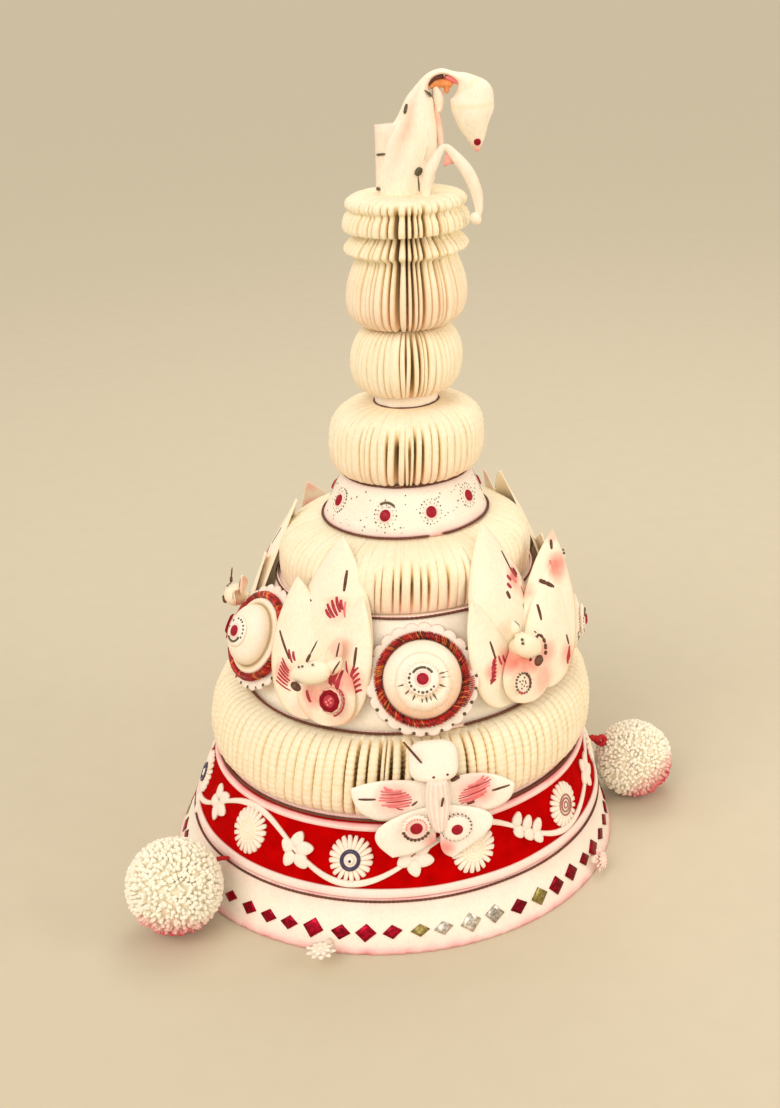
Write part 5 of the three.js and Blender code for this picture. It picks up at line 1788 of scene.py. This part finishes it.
# The back rim of the head is painted darker and pinker as shade.
head = [moved(skin(head_rows, [(0.3, 0.3)] + [(0.06, 0.02)] * 5), head_place)]
for x, y in ((-0.6, -7.4), (4.9, -6.6)):
    head.append(moved(flat_dot((x, y, 2.3), 0.85, 0.4, 1, 10), head_place))
head.append(stick(Vector((7.2, 11.8, 1.6)), Vector((11.0, 13.6, 1.6)), 0.95, 1, 8, 0.8))
head.append(stick(Vector((-5.8, 23.4, 2.4)), Vector((-13.6, 36.4, 5.0)), 0.6, 1, 8, 0.6))
make_piece("butterfly_head_disc", head, [white_pith, brush_dark_and_shade], ["butterfly_head"],
           butterfly_seat)

# ---- Pompoms ----
# Two balls of cream thread, cut short so that the ends stand out in tufts, and hung on twisted red ties.
# The dye has run into the ends low down.
thread_pith = pith_material("pompom thread", rgb(255, 250, 234), rgb(255, 244, 216), rgb(236, 200, 156),
                            rgb(226, 62, 84), fineness=1.6, stretch=1.0, bump=0.15)


def pompom(centre, radius, count, dyed, dye_edge, tuft_wide, seed):
    """Tufts of thread from a soft core. dyed is the direction whose ends are pink, down to dye_edge."""
    dice = random.Random(seed)
    core = []
    for i in range(15):
        turn = pi * i / 14
        core.append((max(0.05, radius * 0.86 * sin(turn)), -radius * 0.86 * cos(turn)))
    core_rows = circle_rows(core, 32)
    # The core, deep between the tufts, is painted with shade, and pink on the dyed side.
    core_marks = [[(0.25, 0.35 * max(0.0, point.normalized().dot(dyed)))
                   for point in row] for row in core_rows]
    shapes = [moved(skin(core_rows, core_marks), Matrix.Translation(centre))]
    golden_angle = pi * (3 - sqrt(5))
    for i in range(count):
        up = 1 - 2 * (i + 0.5) / count
        turn = golden_angle * i + dice.uniform(-0.05, 0.05)
        flat = sqrt(1 - up * up)
        aim = Vector((flat * cos(turn), flat * sin(turn), up))
        aim = (aim + Vector([dice.uniform(-0.05, 0.05) for _ in range(3)])).normalized()
        near_dye = aim.dot(dyed)
        long = radius * (1 - dice.uniform(0, 0.03 + 0.04 * max(0.0, near_dye + 0.4)))
        pink = min(1.0, max(0.0, (near_dye - dye_edge) * 1.8))
        loose = max(0.0, near_dye - 0.1)
        placed = facing(aim) @ Matrix.Rotation(dice.uniform(0, 3.1), 4, "Z")
        wide = tuft_wide * dice.uniform(0.8, 1.15) * (1 - 0.3 * loose)
        rows = []
        for reach, thick in ((0.76, 0.5), (0.92, 1.0), (0.98, 0.9), (1.0, 0.5)):
            rows.append([Vector((wide * thick * cos(a), wide * 0.8 * thick * sin(a), long * reach))
                         for a in (0, 1.05, 2.1, 3.14, 4.19, 5.24)])
        # Each tuft is painted with shade towards its root, and pink towards its tip on the dyed side.
        marks = [(painted_shade, pink * tip) for painted_shade, tip in ((0.3, 0.4), (0.12, 0.8), (0.03, 1), (0.0, 1))]
        shapes.append(moved(skin(rows, marks), Matrix.Translation(centre) @ placed))
    return shapes


def tie(start, end, thick):
    """A twisted thread tie with a knot at its outer end."""
    steps, twist = 24, 3.4
    path = []
    for i in range(steps + 1):
        share = i / steps
        path.append(start.lerp(end, share) + Vector((0, 0, 1.2 * sin(pi * share))))
    knot = [path[-1] + Vector((2.2 * cos(turn), 1.0 * sin(2 * turn), 1.9 * sin(turn)))
            for turn in full_turn(18)]
    return [twisted(path, thick, twist, ring=False), twisted(knot, thick * 0.8, twist)]


red_thread = uneven_material("dark red thread", 0.8, rgb(120, 4, 14), rgb(232, 60, 58), 1500.0, 3.0,
                             Specular_IOR_Level=0.25)
# (radius, dyed side, dye edge, how many tufts, their width, tie's thickness, seed) of each ball.
balls = {
    "left": (23.2, Vector((-0.15, -0.35, -0.92)), 0.45, 1500, 1.25, 1.2, 31),
    "right": (20.4, Vector((0.62, -0.3, -0.72)), 0.38, 1200, 1.15, 1.9, 32),
}
for name, (radius, dyed, dye_edge, count, tuft_wide, thick, seed) in balls.items():
    on_left = name == "left"
    low, high, _ = box_of(f"pompom_{name}")
    centre = (low + high) / 2 + Vector((-1.2 if on_left else 0, 0, 0))
    tufts = pompom(centre, radius, count, dyed.normalized(), dye_edge, tuft_wide, seed)
    make_piece(f"pompom_tufts_{name}", tufts, [thread_pith], [f"pompom_{name}"])
    low, high, _ = box_of(f"pompom_tie_{name}")
    middle = (low + high) / 2
    if on_left:
        start, end = Vector((high.x, high.y, middle.z)), Vector((low.x, low.y, middle.z))
        start = start.lerp(end, 0.42) - Vector((0, 0, 6.2))
        end = end.lerp(centre, 0.2) - Vector((0, 0, 2.0))
    else:
        start = Vector((low.x, middle.y, middle.z)) + Vector((0, 0, 2.6))
        end = Vector((high.x, middle.y, middle.z)) + Vector((0, 0, 1.6))
    make_piece(f"pompom_thread_{name}", tie(start, end, thick), [red_thread],
               [f"pompom_tie_{name}"])

# ---- Rim flowers ----
# Two small flowers of cut pith are stuck on the lower edge of the rim: a white one at the front, which
# has tipped over on its short stalk and faces up, and a spiky one at the right.
for name, angle, height, spikes, reach in (("left", -17.5, 5.2, 9, 6.9), ("right", 60.0, 6.2, 12, 6.0)):
    tipped = name == "left"
    widened, rise = (1.4, 0.9) if tipped else (0.75, 1.6)
    spot = seat(band_wall, angle, height)
    stalk = [(1.5, 0.3), (1.5, 10.0)] if tipped else [(2.0, 0.3), (2.0, 4.0)]
    flower = [moved(skin(circle_rows(stalk, 12)), spot)]
    if tipped:
        spot = spot @ Matrix.Translation((-0.6, -1.6, 12.4)) @ spin(-66, "X")
        spot = spot @ Matrix.Translation((0, 0, -4.4))
    blossom = []
    for layer in range(2):
        for i in range(spikes):
            turn = 2 * pi * (i + 0.5 * layer) / spikes + 0.2
            long = reach * (1 - 0.28 * layer) * uniform(0.85, 1.05)
            rows, marks = [], []
            for k in range(8):
                share = k / 7
                half = 1.5 * sin(pi * (0.12 + 0.8 * share)) ** 0.7 * widened
                here = spoke(long * share, turn, 3.6 + 1.3 * layer + rise * sin(share * 2.2))
                side = Vector((-sin(turn), cos(turn), 0)) * half
                rows.append([here - side, here + Vector((0, 0, 0.45)),
                             here + side, here - Vector((0, 0, 0.3))])
                # Each petal is painted with shade towards the flower's centre.
                marks.append((0.35 * (1 - share), 0.06 if tipped else 0.25 + 0.3 * share * (i % 2)))
            blossom.append(skin(rows, marks))
    blossom.append(flat_dot((0, 0, 5.2), 1.9, 1.3, 0, 14, (0.05, 0.1)))
    blossom += [flat_dot(spoke(1.3, turn, 6.0), 0.3, 0.25, 1, 6) for turn in full_turn(6)]
    flower += [moved(shape, spot) for shape in blossom]
    make_piece(f"rim_flower_cut_{name}", flower, [white_pith, shadow_and_punched], [f"rim_flower_{name}"])

# ---- Floor and light ----
# The hat stands on a wide pale sand floor in soft studio light: a large lamp high on the left, weaker
# ones at the front, on the right and above, and warm light from all round.
floor_paint = uneven_material("pale sand floor", 0.9, rgb(209, 198, 174), rgb(214, 203, 179), 60.0, 4.0,
                              Specular_IOR_Level=0.1)
floor_half = 14.0
floor_mesh = bpy.data.meshes.new("studio_floor")
floor_level = cad_low.z
corners = [(x * floor_half, y * floor_half, floor_level) for x, y in ((-1, -1), (1, -1), (1, 1), (-1, 1))]
floor_mesh.from_pydata(corners, [], [(0, 1, 2, 3)])
floor_mesh.materials.append(floor_paint)
studio_floor = bpy.data.objects.new("studio_floor", floor_mesh)
bpy.context.scene.collection.objects.link(studio_floor)

world = bpy.data.worlds.new("studio")
bpy.context.scene.world = world
world.use_nodes = True
sky = world.node_tree.nodes["Background"]
sky.inputs["Color"].default_value = (0.92, 0.87, 0.78, 1.0)
sky.inputs["Strength"].default_value = 0.67
bpy.context.scene.view_settings.view_transform = "Standard"
lamps = (
    ("key_lamp", "SUN", (-620, -760, 1050), 1.36, (0.92, 0.86, 0.8)),
    ("front_lamp", "SUN", (60, -900, 520), 0.52, (0.92, 0.86, 0.8)),
    ("side_lamp", "AREA", (900, -420, 520), 3.0, (0.92, 0.85, 0.76)),
    ("top_lamp", "AREA", (120, 500, 1150), 3.2, (0.92, 0.87, 0.8)),
)
for name, kind, place, power, colour in lamps:
    lamp = bpy.data.lights.new(name, kind)
    if kind == "SUN":
        lamp.angle = radians(40)
    else:
        lamp.shape = "DISK"
        lamp.size = 650 * mm
    lamp.energy = power
    lamp.color = colour
    holder = bpy.data.objects.new(name, lamp)
    bpy.context.scene.collection.objects.link(holder)
    holder.location = Vector(place) * mm
    holder.rotation_mode = "QUATERNION"
    holder.rotation_quaternion = (Vector((0, 0, 170)) * mm - holder.location).to_track_quat("-Z", "Y")
